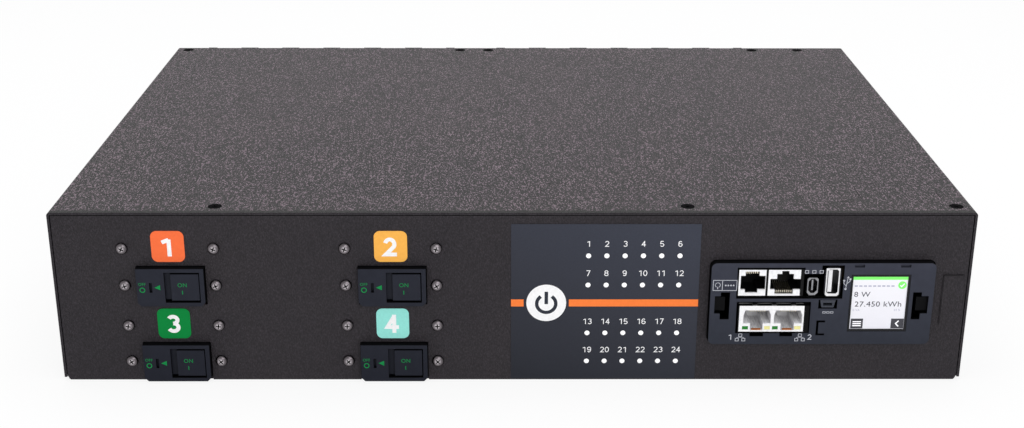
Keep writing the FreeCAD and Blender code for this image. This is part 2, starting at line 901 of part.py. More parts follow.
def status_board_spans():
    margin = size.status_board_margin
    side = size.status_board_side
    across = (size.light_x - side, size.light_x + size.light_pitch * (LIGHTS_IN_ROW - 1) + side)
    rows_up = light_rows()
    up = (rows_up[-1] - margin, rows_up[0] + margin)
    start = panel_back + size.status_board_gap
    return across, (start, start + size.board_sheet), up


def status_board_corners():
    across, along, up = status_board_spans()
    inset = size.stand_radius + size.stand_margin
    return [(x, z) for x in (across[0] + inset, across[1] - inset) for z in (up[0] + inset, up[1] - inset)]


def make_status_board():
    across, along, up = status_board_spans()
    body = new_body("status_board")
    holes = [many_sided(x, z, size.board_screw_core + size.board_hole_play, HEXAGON)
             for x, z in status_board_corners()]
    pad(body, "xz", [rectangle(across, up)] + holes, along[0], along[1])
    return node(body, "status_board")


def make_status_leds():
    board_front = status_board_spans()[1][0]
    leds = [block("led", (x - size.led_length / 2, x + size.led_length / 2),
                  (board_front - size.led_height, board_front),
                  (z - size.led_width / 2, z + size.led_width / 2))
            for z in light_rows() for x in light_columns()]
    return node(group("status_leds", leds), "status_leds")


def make_badge():
    body = new_body("badge_plate")
    pad(body, "xz", [rounded((size.badge_left, size.badge_right), (size.badge_bottom, size.badge_top),
                             size.badge_corner)], front - size.badge_sheet, front)
    return node(body, "badge_plate")


# Monitoring module. Places on its face are measured from the module's lower left corner.


def face_x(offset):
    return size.module_left + offset


def face_z(offset):
    return size.module_bottom + offset


def face_box(left, right, low, high):
    return rectangle((face_x(left), face_x(right)), (face_z(low), face_z(high)))


def face_polygon(points):
    return polygon([(face_x(x), face_z(z)) for x, z in points])


SENSOR_JACK = (13.2, 27.1)
SERIAL_JACK = (27.3, 44.3)
SERVICE_PORT = (45.5, 51.9, 26.1, 35.7)
HOST_PORT = (54.1, 62.1, 25.6, 40.7)
POWER_PORT = (52.9, 60.3, 19.6, 23.4)
NETWORK_JACK = (13.7, 47.9)
NETWORK_PORTS = ((16.4, 29.6), (31.2, 44.7))
NETWORK_LIGHTS = ((16.0, 18.9), (26.7, 29.5), (30.5, 33.3), (41.2, 44.3))


board_top = size.module_board_z + size.board_sheet


def make_monitor_housing():
    """Moulded front plate and side walls, with windows for the sockets, display and latches."""
    body = new_body("monitor_housing")
    across = (size.module_left, size.module_right)
    up = (size.module_bottom, size.module_top)
    wall = size.module_wall
    pad(body, "xz", [rounded(across, up, size.module_corner)], module_front, plate_back)
    inside = rounded((across[0] + wall, across[1] - wall), (up[0] + wall, up[1] - wall),
                     size.module_corner - wall)
    pad(body, "xz", [rounded(across, up, size.module_corner), inside],
        plate_back, plate_back + size.module_depth)
    windows = [
        face_polygon([(12.4, 24.1), (63.4, 24.1), (63.4, 41.4), (52.7, 41.4), (52.7, 37.0),
                      (44.7, 37.0), (44.7, 40.2), (12.4, 40.2)]),
        face_box(52.2, 61.2, 18.9, 23.6),
        face_polygon([(12.9, 5.9), (19.9, 5.9), (19.9, 4.2), (26.5, 4.2), (26.5, 5.9), (34.4, 5.9),
                      (34.4, 4.2), (40.6, 4.2), (40.6, 5.9), (48.6, 5.9), (48.6, 22.4), (12.9, 22.4)]),
        rectangle((size.display_left - size.display_border, size.display_right + size.display_border),
                  (size.display_bottom - size.display_border, size.display_top + size.display_border)),
        face_polygon([(2.2, 16.3), (5.0, 16.3), (5.0, 13.2), (9.4, 13.2), (9.4, 27.4), (5.0, 27.4),
                      (5.0, 25.4), (2.2, 25.4)]),
        face_polygon([(97.3, 13.2), (101.5, 13.2), (101.5, 16.3), (104.9, 16.3), (104.9, 25.4),
                      (101.5, 25.4), (101.5, 27.4), (97.3, 27.4)]),
        face_polygon([(51.9, 4.7), (56.1, 4.7), (56.1, 5.7), (53.0, 5.7), (53.0, 11.6), (56.1, 11.6),
                      (56.1, 12.6), (51.9, 12.6)]),
    ]
    pocket(body, "xz", windows, module_front - 1, plate_back)
    pocket(body, "xz", [face_box(68.1, 72.9, 40.4, 41.8), face_box(90.2, 95.0, 40.4, 41.8)],
           module_front - 1, module_front + 1)
    pad(body, "xz", [face_box(1.4, 7.4, 17.2, 24.4), face_box(99.4, 105.8, 17.2, 24.4)],
        plate_back - 0.4, plate_back + 1.2)
    return node(body, "monitor_housing")


def make_monitor_board():
    board = block("monitor_board", (face_x(11.0), face_x(66.0)),
                  (plate_back + 0.2, plate_back + size.module_board_depth),
                  (size.module_board_z, size.module_board_z + size.board_sheet))
    return node(board, "monitor_board")


def make_upper_jacks():
    """Two modular sockets that stand on the board: six ways, latch down, and eight ways, latch up."""
    start = module_front - size.jack_proud
    end = start + size.jack_depth
    up = (size.jack_bottom, size.jack_top)
    feet_up = (board_top, size.jack_bottom + size.jack_foot)
    feet_start = plate_back + size.plate_play
    sensor = new_body("sensor_jack")
    across = (face_x(SENSOR_JACK[0]), face_x(SENSOR_JACK[1]))
    pad(sensor, "xz", [rectangle(across, up)], start, end)
    pocket(sensor, "xz", [face_polygon([
        (14.1, 28.9), (16.3, 28.9), (16.3, 27.2), (22.4, 27.2), (22.4, 28.9), (26.0, 28.9),
        (26.0, 36.1), (23.0, 36.1), (23.0, 38.3), (16.3, 38.3), (16.3, 36.1), (14.1, 36.1),
    ])], start, end - size.jack_wall)
    pad(sensor, "xz", [rectangle(across, feet_up)], feet_start, end)
    node(sensor, "sensor_jack")
    serial = new_body("serial_jack")
    across = (face_x(SERIAL_JACK[0]), face_x(SERIAL_JACK[1]))
    pad(serial, "xz", [rectangle(across, up)], start, end)
    pocket(serial, "xz", [face_polygon([
        (28.3, 28.9), (30.6, 28.9), (30.6, 26.5), (39.4, 26.5), (39.4, 28.9), (42.9, 28.9),
        (42.9, 34.5), (39.4, 34.5), (39.4, 37.1), (37.2, 37.1), (37.2, 38.6), (33.7, 38.6),
        (33.7, 37.1), (31.4, 37.1), (31.4, 34.5), (28.3, 34.5),
    ])], start, end - size.jack_wall)
    pad(serial, "xz", [rectangle(across, feet_up)], feet_start, end)
    node(serial, "serial_jack")


def port_shell(name, spans, wall, corner, depth):
    """A pressed metal sleeve with cut corners, open at the front, on feet that stand on the board."""
    left, right, low, high = spans
    body = new_body(name)
    start = module_front - size.jack_proud
    outlines = []
    for inset in (0, wall):
        cut_by = corner - inset / 2
        x0, x1, z0, z1 = left + inset, right - inset, low + inset, high - inset
        outlines.append(face_polygon([
            (x0 + cut_by, z0), (x1 - cut_by, z0), (x1, z0 + cut_by), (x1, z1 - cut_by),
            (x1 - cut_by, z1), (x0 + cut_by, z1), (x0, z1 - cut_by), (x0, z0 + cut_by)]))
    pad(body, "xz", outlines, start, start + depth)
    pad(body, "xz", outlines[:1], start + depth, start + depth + size.shell_back)
    feet = rectangle((face_x(left + corner), face_x(right - corner)), (board_top, face_z(low + wall / 2)))
    pad(body, "xz", [feet], plate_back + size.plate_play, start + depth)
    return body


def make_ports():
    """Service port, upright host port with its tongue, and the power port under the board."""
    start = module_front - size.jack_proud
    service = port_shell("service_port", SERVICE_PORT, size.service_wall, size.service_corner,
                         size.service_depth)
    pad(service, "xz", [face_box(48.3, 49.1, 28.2, 33.6)], start + size.service_wall, start + size.service_depth)
    node(service, "service_port")
    node(port_shell("host_port_shell", HOST_PORT, size.host_wall, size.host_corner, size.host_depth),
         "host_port_shell")
    tongue = block("host_port_tongue", (face_x(56.0), face_x(57.9)),
                   (start + size.tongue_setback, start + size.host_depth), (face_z(27.4), face_z(38.9)))
    node(tongue, "host_port_tongue")
    left, right, low, high = POWER_PORT
    power = new_body("power_port")
    pad(power, "xz", [face_polygon([(left + 0.8, low), (right - 0.8, low), (right, high), (left, high)])],
        start, plate_back)
    pad(power, "xz", [rectangle((face_x(left + 0.8), face_x(right - 0.8)), (face_z(low), size.module_board_z))],
        plate_back, start + 11.0)
    pocket(power, "xz", [face_box(left + 1.5, right - 1.5, low + 0.9, 22.0)], start, start + 8.0)
    node(power, "power_port")


def make_network_jack():
    """Pressed shield round two sockets that hang under the board, contacts above, latches below."""
    start = module_front - size.network_proud
    body = new_body("network_jack")
    pad(body, "xz", [rectangle((face_x(NETWORK_JACK[0]), face_x(NETWORK_JACK[1])),
                               (size.network_bottom, size.network_top))],
        start, start + size.network_depth)
    sockets = []
    for left, right in NETWORK_PORTS:
        sockets.append(face_polygon([
            (left + 3.4, 7.7), (right - 3.7, 7.7), (right - 3.7, 11.3), (right, 11.3), (right, 15.6),
            (right - 1.0, 18.2), (left + 0.8, 18.2), (left, 15.6), (left, 11.3), (left + 3.4, 11.3)]))
    pocket(body, "xz", sockets, start, start + size.network_depth - size.network_wall)
    pocket(body, "xz", [face_box(left, right, 8.1, 9.9) for left, right in NETWORK_LIGHTS],
           start, start + size.network_light_depth)
    behind_plate = plate_back + size.plate_play
    pad(body, "xz", [rectangle((face_x(NETWORK_JACK[0]), face_x(NETWORK_JACK[1])),
                               (size.network_top, size.module_board_z))],
        behind_plate, start + size.network_depth)
    fingers = [rectangle((face_x(x), face_x(x + 2.2)), (size.network_top, size.network_top + 0.9))
               for x in (20.6, 30.0, 39.4)]
    pad(body, "xz", fingers, start + 0.6, behind_plate)
    node(body, "network_jack")
    play = size.network_light_play
    lights = [block("network_light", (face_x(left) + play, face_x(right) - play),
                    (start, start + size.network_light_depth - play), (face_z(8.1) + play, face_z(9.9) - play))
              for left, right in NETWORK_LIGHTS]
    node(group("network_lights", lights), "network_lights")


def make_jack_contacts():
    """Thin wires in the sockets: six, eight and twice eight."""
    start = module_front
    wires = []
    upper_end = size.jack_depth - size.jack_proud - size.jack_wall
    lower_end = size.network_depth - size.network_proud - size.network_wall
    rows_of_wires = [(17.0, 6, 36.6, 37.9, upper_end), (31.5, 8, 26.7, 28.0, upper_end),
                     (19.6, 8, 16.7, 17.9, lower_end), (34.5, 8, 16.7, 17.9, lower_end)]
    for left, count, low, high, depth in rows_of_wires:
        for step in range(count):
            x = face_x(left + 1.02 * step)
            wires.append(block("contact_wire", (x, x + 0.4), (start + 1.5, start + depth),
                               (face_z(low), face_z(high))))
    node(group("jack_contacts", wires), "jack_contacts")


def make_display():
    """Black frame and the lit panel in it."""
    border = size.display_border - size.display_play
    inner = ((size.display_left, size.display_right), (size.display_bottom, size.display_top))
    outer = ((inner[0][0] - border, inner[0][1] + border), (inner[1][0] - border, inner[1][1] + border))
    frame = new_body("display_frame")
    pad(frame, "xz", [rectangle(*outer), rectangle(*inner)], module_front + size.display_play, plate_back + 1)
    node(frame, "display_frame")
    panel_front = module_front + size.display_recess
    play = size.display_play / 2
    panel = block("display_panel", (inner[0][0] + play, inner[0][1] - play),
                  (panel_front, panel_front + size.display_depth), (inner[1][0] + play, inner[1][1] - play))
    node(panel, "display_panel")


# Outlet banks


def core_outline(x, z, half_width, half_height, chamfer):
    """An outlet's outline: a rectangle on end with its two left corners cut."""
    return polygon([
        (x - half_width + chamfer, z - half_height), (x + half_width, z - half_height),
        (x + half_width, z + half_height), (x - half_width + chamfer, z + half_height),
        (x - half_width, z + half_height - chamfer), (x - half_width, z - half_height + chamfer)])


def contact_places(x, z):
    """Line and neutral above and below, and earth to the left."""
    spread = size.contact_spread / 2
    return [(x + size.contact_offset / 2, z - spread), (x + size.contact_offset / 2, z + spread),
            (x - size.contact_offset / 2, z)]


def make_outlet_bank(number, x, z):
    """One moulding with six outlets, its rim on the outside of the rear panel."""
    body = new_body("outlet_bank_%d" % number)
    half = size.outlet_pitch * OUTLETS_IN_BANK / 2
    tall = size.bank_height / 2
    inset = size.bank_inset + size.bank_play
    pad(body, "xz", [rectangle((x - half, x + half), (z - tall, z + tall))], rear, bank_face)
    pad(body, "xz", [rectangle((x - half + inset, x + half - inset), (z - tall + inset, z + tall - inset))],
        bank_back, rear)
    first = x - half + size.outlet_pitch / 2
    inner = (size.core_width / 2, size.core_height / 2)
    outer = (inner[0] + size.moat_width, inner[1] + size.moat_width)
    moat = pocket(body, "xz", [core_outline(first, z, outer[0], outer[1], size.core_chamfer),
                               core_outline(first, z, inner[0], inner[1], size.core_chamfer)],
                  bank_face - size.moat_depth, bank_face)
    wide = size.contact_slot_wide / 2
    high = size.contact_slot_tall / 2
    slots = pocket(body, "xz", [rectangle((cx - high, cx + high), (cz - wide, cz + wide))
                                for cx, cz in contact_places(first, z)], bank_back, bank_face)
    along_x(body, [moat, slots], OUTLETS_IN_BANK, size.outlet_pitch)
    ribs = []
    for step in range(1, OUTLETS_IN_BANK):
        middle = x - half + size.outlet_pitch * step
        ribs.append(rectangle((middle - size.bank_rib_width / 2, middle + size.bank_rib_width / 2),
                              (z - tall, z + tall)))
    pad(body, "xz", ribs, bank_face, bank_face + size.bank_rib)
    return node(body, "outlet_bank_%d" % number)


def make_contacts():
    """A spring leaf in every slot, with its tail on the board behind."""
    leaves = []
    high = size.contact_slot_tall / 2 - size.contact_play
    wall = size.contact_slot_wide / 2
    start = bank_back - size.contact_tail
    for x, z in banks:
        first = x - size.outlet_pitch * (OUTLETS_IN_BANK - 1) / 2
        for step in range(OUTLETS_IN_BANK):
            for cx, cz in contact_places(first + size.outlet_pitch * step, z):
                leaves.append(block("contact_leaf", (cx - high, cx + high),
                                    (start, bank_back + size.contact_length),
                                    (cz - wall, cz - wall + size.contact_sheet)))
    node(group("outlet_contacts", leaves), "outlet_contacts")


# Cord gland


def gland_start(y):
    return (size.gland_x, y, size.gland_z)


def make_gland():
    hex_end = rear + size.gland_hex_depth
    neck_end = hex_end + size.gland_neck_depth
    inner_end = rear_inside - size.gland_inner_reach
    collar = prism("gland_collar", gland_start(rear), HEXAGON, size.gland_hex, size.gland_hex_depth)
    thread = prism("gland_thread", gland_start(inner_end), GLAND_SIDES, size.gland_thread, neck_end - inner_end)
    bore = prism("gland_bore", gland_start(inner_end - 1), GLAND_SIDES, size.gland_mouth,
                 neck_end - inner_end + 2)
    node(cut("gland_body", fuse("gland_shell", [collar, thread]), [bore]), "gland_body")

    seal = prism("seal_ring", gland_start(neck_end), GLAND_SIDES, size.gland_seal_bore + size.gland_seal_wall,
                 size.gland_seal_depth)
    seal_bore = rod("seal_bore", "y", gland_start(neck_end - 1), size.gland_seal_bore,
                    size.gland_seal_depth + 2)
    node(cut("gland_seal", seal, [seal_bore]), "gland_seal")

    nut_start = hex_end + size.gland_nut_gap
    hollow_end = neck_end + size.gland_seal_depth
    skirt = prism("nut_skirt", gland_start(nut_start), HEXAGON, size.gland_nut_hex, neck_end - nut_start)
    dome = taper("nut_dome", gland_start(neck_end), GLAND_SIDES, size.gland_thread + size.gland_dome_wall,
                 size.gland_mouth + size.gland_lip, size.gland_seal_depth + size.gland_cap)
    thread_hole = prism("nut_thread", gland_start(nut_start - 1), GLAND_SIDES,
                        size.gland_thread + size.thread_play, neck_end - nut_start + 1)
    seal_seat = prism("nut_seal_seat", gland_start(nut_start), GLAND_SIDES,
                      size.gland_seal_bore + size.gland_seal_wall + size.gland_seal_play, hollow_end - nut_start)
    mouth = prism("nut_mouth", gland_start(nut_start), GLAND_SIDES, size.gland_mouth,
                  hollow_end - nut_start + size.gland_cap + 1)
    node(cut("gland_nut", fuse("nut_shell", [skirt, dome]), [thread_hole, seal_seat, mouth]), "gland_nut")

    lock_start = rear_inside - size.gland_lock_depth
    lock = prism("lock_flats", gland_start(lock_start), HEXAGON, size.gland_lock_hex, size.gland_lock_depth)
    lock_hole = prism("lock_hole", gland_start(lock_start - 1), GLAND_SIDES,
                      size.gland_thread + size.thread_play, size.gland_lock_depth + 2)
    node(cut("gland_locknut", lock, [lock_hole]), "gland_locknut")


# Boards, terminal block and bars inside


def outlet_board_spans(x):
    half = size.outlet_pitch * OUTLETS_IN_BANK / 2
    back = bank_back - size.contact_tail
    up = (size.bank_low_z - size.outlet_board_drop, size.bank_high_z + size.outlet_board_rise)
    return (x - half, x + half), (back - size.board_sheet, back), up


def make_outlet_boards():
    """Two upright boards that carry the outlets' contacts on their pads."""
    boards = [block("outlet_board", *outlet_board_spans(x)) for x in (size.bank_left_x, size.bank_right_x)]
    node(group("outlet_boards", boards), "outlet_boards")
    relays = []
    for x, z in banks:
        board_front = outlet_board_spans(x)[1][0]
        first = x - size.outlet_pitch * (OUTLETS_IN_BANK - 1) / 2
        for step in range(OUTLETS_IN_BANK):
            middle = first + size.outlet_pitch * step
            relays.append(block("relay", (middle - size.relay_width / 2, middle + size.relay_width / 2),
                                (board_front - size.relay_depth, board_front),
                                (z - size.relay_height / 2, z + size.relay_height / 2)))
    node(group("outlet_relays", relays), "outlet_relays")


def supply_corners():
    inset = size.supply_board_inset
    half_width = size.supply_board_width / 2 - inset
    half_depth = size.supply_board_depth / 2 - inset
    return [(size.supply_board_x + half_width * side, size.supply_board_y + half_depth * end)
            for side in (-1, 1) for end in (-1, 1)]


def make_supply():
    """Low-voltage supply for the module: board, transformer and two capacitors."""
    x, y = size.supply_board_x, size.supply_board_y
    half_width = size.supply_board_width / 2
    half_depth = size.supply_board_depth / 2
    level = floor + size.stand_height
    top = level + size.board_sheet
    board = new_body("supply_board")
    pad(board, "xy", [rectangle((x - half_width, x + half_width), (y - half_depth, y + half_depth))]
        + [many_sided(hole_x, hole_y, size.board_screw_core + size.board_hole_play, HEXAGON)
           for hole_x, hole_y in supply_corners()], level, top)
    node(board, "supply_board")
    core = centred("transformer_core", size.transformer_x, y, size.transformer_core_width,
                   size.transformer_core_depth, (top, top + size.transformer_core_height))
    coil_low = top + (size.transformer_core_height - size.transformer_coil_height) / 2
    coil = centred("transformer_coil", size.transformer_x, y, size.transformer_coil_width,
                   size.transformer_coil_depth, (coil_low, coil_low + size.transformer_coil_height))
    node(fuse("supply_transformer", [core, coil]), "supply_transformer")
    cans = [centred("capacitor", size.capacitor_x, y + size.capacitor_pitch / 2 * side, size.capacitor_width,
                    size.capacitor_depth, (top, top + size.capacitor_height)) for side in (-1, 1)]
    node(group("supply_capacitors", cans), "supply_capacitors")


def board_screw(near, far, axis):
    """A hexagonal head on the far side of a board, its core through the board down to the standoff."""
    head = prism("screw_head", far, HEXAGON, size.board_screw_head, size.board_screw_height, axis)
    core = prism("screw_core", near, HEXAGON, size.board_screw_core, size.board_sheet, axis)
    return fuse("board_screw", [head, core])


def make_fixings():
    """Standoffs and screws of the two boards that stand off sheet metal."""
    stands = []
    screws = []
    level = floor + size.stand_height
    for x, y in supply_corners():
        stands.append(prism("standoff", (x, y, floor), HEXAGON, size.stand_radius, size.stand_height, "z"))
        screws.append(board_screw((x, y, level), (x, y, level + size.board_sheet), "z"))
    board_front, board_back = status_board_spans()[1]
    for x, z in status_board_corners():
        stands.append(prism("standoff", (x, panel_back, z), HEXAGON, size.stand_radius, size.status_board_gap))
        screws.append(board_screw((x, board_front, z), (x, board_back, z), "y"))
    node(group("board_standoffs", stands), "board_standoffs")
    node(group("board_screws", screws), "board_screws")


def block_ways():
    """The middle of each way of the terminal block."""
    first = size.gland_x - size.block_pitch * (TERMINAL_POLES - 1) / 2
    return [first + size.block_pitch * step for step in range(TERMINAL_POLES)]


block_y = rear - size.block_from_rear
block_front = block_y - size.block_depth / 2
block_shoulder = floor + size.block_height
bar_low = block_shoulder - size.block_slot_drop - size.block_slot_height
bar_high = bar_low + size.bar_sheet


def make_terminal_block():
    """Three-way block on the floor, where the supply cord ends: line, neutral and earth."""
    half_depth = size.block_depth / 2
    crown = half_depth - size.block_shelf
    top = block_shoulder + size.block_crown
    ways = block_ways()
    body = new_body("terminal_block")
    pad(body, "yz", [polygon([
        (block_front, floor), (block_y + half_depth, floor), (block_y + half_depth, block_shoulder),
        (block_y + crown, block_shoulder), (block_y + crown, top), (block_y - crown, top),
        (block_y - crown, block_shoulder), (block_front, block_shoulder)])],
        ways[0] - size.block_pitch / 2, ways[-1] + size.block_pitch / 2)
    half_slot = size.bar_width / 2 + size.bar_gap / 2
    pocket(body, "xz", [rectangle((way - half_slot, way + half_slot), (bar_low, bar_low + size.block_slot_height))
                        for way in ways], block_front - 1, block_y + half_depth + 1)
    half_hole = size.clamp_hole / 2
    holes = []
    screws = []
    for way in ways:
        for side in (-1, 1):
            y = block_y + size.clamp_offset * side
            holes.append(rectangle((way - half_hole, way + half_hole), (y - half_hole, y + half_hole)))
            screws.append(prism("terminal_screw", (way, y, bar_high), HEXAGON, size.clamp_radius,
                                size.clamp_length, "z"))
    pocket(body, "xy", holes, bar_high, top)
    node(body, "terminal_block")
    node(group("terminal_screws", screws), "terminal_screws")


def make_earth():
    """Stud on the floor, its bar to the third way, and the nut that clamps it."""
    x = block_ways()[-1]
    y = block_front - size.stud_from_block
    collar = prism("stud_collar", (x, y, floor), HEXAGON, size.stud_collar, bar_low - floor, "z")
    core = prism("stud_core", (x, y, floor), SCREW_SIDES, size.stud_radius, size.stud_length, "z")
    node(fuse("earth_stud", [collar, core]), "earth_stud")
    hole = prism("bar_hole", (x, y, bar_low - 1), SCREW_SIDES, size.stud_radius + size.thread_play,
                 size.bar_sheet + 2, "z")
    half = size.bar_width / 2
    bar = block("earth_strip", (x - half, x + half), (y - size.stud_collar, block_front + size.bar_lap),
                (bar_low, bar_high))
    node(cut("earth_bar", bar, [hole]), "earth_bar")
    nut = prism("nut_flats", (x, y, bar_high), HEXAGON, size.stud_collar, size.stud_nut_height, "z")
    nut_hole = prism("nut_hole", (x, y, bar_high - 1), SCREW_SIDES, size.stud_radius + size.thread_play,
                     size.stud_nut_height + 2, "z")
    node(cut("earth_nut", nut, [nut_hole]), "earth_nut")


def make_bars():
    """Two supply sets, line and neutral, on the right-hand tabs, and a load bar on each left-hand tab."""
    tab_end = panel_back + size.breaker_depth - size.terminal_well_depth + size.tab_length
    lap_start = tab_end - size.bar_lap
    sheet_of_bar = size.bar_sheet
    half = size.bar_width / 2
    supply = []
    for pole, behind in enumerate((size.bar_first, size.bar_second)):
        way = block_ways()[pole]
        plane = (tab_end + behind, tab_end + behind + sheet_of_bar)
        levels = [row + size.pole_pitch * pole for row in rows]
        foot = lower_of(levels[1] - half, bar_low)
        pieces = [
            block("supply_riser", (way - half, way + half), plane, (foot, levels[0] + half)),
            block("supply_run", (way - half, way + half), (plane[0], block_front + size.bar_lap),
                  (bar_low, bar_high))]
        for z in levels:
            up = (z - half, z + half)
            pieces.append(block("supply_bar", (size.column_left + size.terminal_offset, way + half), plane, up))
            for column in columns:
                x = column + size.terminal_offset + size.tab_sheet
                pieces.append(block("supply_finger", (x, x + sheet_of_bar), (lap_start, plane[1]), up))
        supply.append(fuse("supply_bar_set", pieces))
    node(group("supply_bars", supply), "supply_bars")
    load = []
    board_front = outlet_board_spans(size.bank_left_x)[1][0]
    for column, row in breakers:
        for pole in (0, 1):
            x = column - size.terminal_offset + size.tab_sheet
            z = row + size.pole_pitch * pole
            across = (x, x + sheet_of_bar)
            up = (z + half + size.bar_gap, z + half * 3 + size.bar_gap)
            pieces = [block("load_foot", across, (lap_start, tab_end), (z - half, up[1]))]
            if column is size.column_left:
                pieces.append(block("load_run", across, (lap_start, board_front), up))
            else:
                turn = tab_end + size.load_turn
                end = (size.load_right_x, size.load_right_x + sheet_of_bar)
                pieces += [block("load_run", across, (lap_start, turn), up),
                           block("load_crossing", (x, end[1]), (turn - sheet_of_bar, turn), up),
                           block("load_run", end, (turn - sheet_of_bar, board_front), up)]
            load.append(fuse("load_bar", pieces))
    node(group("load_bars", load), "load_bars")


make_tray()
make_cover()
make_cover_screws()
make_ear_nuts()
for count, (column_x, row_z) in enumerate(breakers, start=1):
    make_breaker_case(count, column_x, row_z)
    make_rocker(count, column_x, row_z)
make_breaker_screws()
make_breaker_terminals()
make_labels()
make_overlay()
make_light_strips()
make_status_board()
make_status_leds()
make_badge()
make_monitor_housing()
make_monitor_board()
make_upper_jacks()
make_ports()
make_network_jack()
make_jack_contacts()
make_display()
for count, (bank_x, bank_z) in enumerate(banks, start=1):
    make_outlet_bank(count, bank_x, bank_z)
make_contacts()
make_gland()
make_outlet_boards()
make_supply()
make_fixings()
make_terminal_block()
make_earth()
make_bars()

doc.recompute()

failed = [thing.Name for thing in doc.Objects if {"Invalid", "Error"} & set(thing.State)]
if failed:
    raise RuntimeError("objects that failed to build: " + ", ".join(failed))
os.makedirs("parts", exist_ok=True)
for thing in nodes:
    shape = thing.Shape
    if shape.isNull() or not shape.isValid():
        raise RuntimeError("not a valid solid: " + thing.Label)
for thing in nodes:
    thing.Shape.exportStep("parts/%s.step" % thing.Label)
    print("%-22s %3d solids %10.0f mm3" % (thing.Label, len(thing.Shape.Solids), thing.Shape.Volume))
print(len(nodes), "nodes")
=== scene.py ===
import math

import bmesh
import bpy
from mathutils import Matrix, Vector


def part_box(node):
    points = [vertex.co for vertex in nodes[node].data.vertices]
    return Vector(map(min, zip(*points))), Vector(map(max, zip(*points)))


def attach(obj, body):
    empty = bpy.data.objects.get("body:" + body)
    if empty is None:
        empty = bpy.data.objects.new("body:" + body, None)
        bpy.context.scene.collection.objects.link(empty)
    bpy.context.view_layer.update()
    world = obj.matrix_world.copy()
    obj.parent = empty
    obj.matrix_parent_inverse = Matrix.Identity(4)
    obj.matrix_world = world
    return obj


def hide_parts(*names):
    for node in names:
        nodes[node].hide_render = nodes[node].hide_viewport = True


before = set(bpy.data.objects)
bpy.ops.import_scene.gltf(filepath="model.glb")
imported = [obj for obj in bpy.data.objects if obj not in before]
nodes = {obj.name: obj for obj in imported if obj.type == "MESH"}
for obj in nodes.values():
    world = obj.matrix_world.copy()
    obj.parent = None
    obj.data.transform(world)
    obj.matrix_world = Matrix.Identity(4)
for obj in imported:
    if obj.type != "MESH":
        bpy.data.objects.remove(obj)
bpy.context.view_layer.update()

# Sizes below are in millimetres, in the part's own frame. The scene is in metres.
MM = 0.001


def box_of(node):
    """The two corners of a node's box, in millimetres."""
    low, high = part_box(node)
    return low / MM, high / MM


def front_of(node):
    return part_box(node)[0].y / MM


# Camera: its place in metres and its angles in degrees
PICTURE_WIDTH = 1024
FOCAL_PIXELS = 1504.0
SENSOR_WIDTH = 36.0
CAMERA_PLACE = (-0.0039, -0.8166, 0.3400)
CAMERA_LOOKS_DOWN = 20.855
CAMERA_LOOKS_RIGHT = 0.3025
CAMERA_ROLL = 0.1085

# Planes of the front, the top and the rear
FRONT = front_of("chassis_tray")
OVERLAY_FRONT = front_of("status_overlay")
LABEL_FRONT = front_of("circuit_label_1")
BEZEL_FRONT = front_of("breaker_case_1")
ROCKER_FRONT = front_of("breaker_rocker_1")
MODULE_FRONT = front_of("monitor_housing")
DISPLAY_FRONT = front_of("display_panel")
BADGE_FRONT = front_of("badge_plate")
LIGHT_FRONT = front_of("light_strips")
TOP = box_of("top_cover")[1].z
REAR = box_of("chassis_tray")[1].y

# Print: its height, and how much higher each further stroke of a figure stands, as a share of it
PRINT_HEIGHT = 0.03
STROKE_STEP = 0.12

# Figures: pitch and half width, as shares of their height
FIGURE_PITCH = 0.8
FIGURE_HALF_WIDTH = 0.34

# Numbers of the circuits and of the outlet banks
NUMBERS = range(1, 5)

# Breakers: middle of the left and right columns, and of the upper and lower rows
COLUMNS = (-164.2, -58.3)
ROWS = (50.8, 10.6)
BREAKERS = [(column, row) for row in ROWS for column in COLUMNS]
POLE_PITCH = 19.05
PANEL_SCREW_OFFSET = 21.8
PANEL_SCREW_RISE = 1.8

# Cover: depth of the painted shade along the bend at its front edge, and places of its screws from left to
# right
BEND_SHADE_DEPTH = 3.0
FRONT_SCREWS = (-142.0, 83.5, 212.0)
REAR_SCREWS = (-212.0, -33.2, -14.6, 159.0, 188.9)

# Monitoring module: top of the slate's shading, and depth to which its plate is slate, with painted shade
# further back
SLATE_TOP = 64.0
PLATE_DEPTH = 1.0

# Network socket: height above which painted shade covers its shield, how much lower that painted shade
# reaches on level faces, and pitch of its two sockets
SHIELD_SHADE_TOP = 41.8
ROOF_SHADE_REACH = 2.0
NETWORK_PITCH = 14.5

# Outlet banks: outlets side by side, and reach to each side, depth and height of their lips
OUTLETS_ACROSS = 6
LIP_REACH = 5.6
LIP_DEPTH = 1.2
LIP_HEIGHT = 0.5

# Status field
LIGHT_X = 36.15
LIGHT_PITCH = 8.72
LIGHT_ROWS = (66.15, 51.0, 25.65, 10.5)
LIGHTS_ACROSS = 6
LIGHTS = [(LIGHT_X + LIGHT_PITCH * step, z) for z in LIGHT_ROWS for step in range(LIGHTS_ACROSS)]
NUMBER_RISE = 6.15
NUMBER_HEIGHT = 2.95
NUMBER_STROKE = 0.37
LENS_RADIUS = 1.24
STRIPE_LOW, STRIPE_HIGH = 39.7, 43.4
DISC_X, DISC_Z, DISC_RADIUS = 16.2, 41.55, 9.6


def linear(red, green, blue):
    """A colour as written from 0 to 255, as the shader wants it."""
    channels = []
    for value in (red, green, blue):
        part = value / 255.0
        channels.append(part / 12.92 if part <= 0.04045 else ((part + 0.055) / 1.055) ** 2.4)
    return (*channels, 1.0)


def grey(level):
    return (level, level, level, 1.0)


def shade(colour, factor):
    return (*[min(1.0, part * factor) for part in colour[:3]], 1.0)


SLATE_LOW = linear(48, 51, 60)
SLATE_HIGH = linear(58, 60, 71)
CASE_LOW = linear(34, 36, 45)
CASE_HIGH = linear(40, 42, 51)
# Near black that stands for shade: painted shade in gaps, recesses and on sides
PAINTED_SHADE_BLACK = linear(8, 8, 10)

# A face looks along an axis when its normal has at least this part along it
FACING = 0.7

# Materials


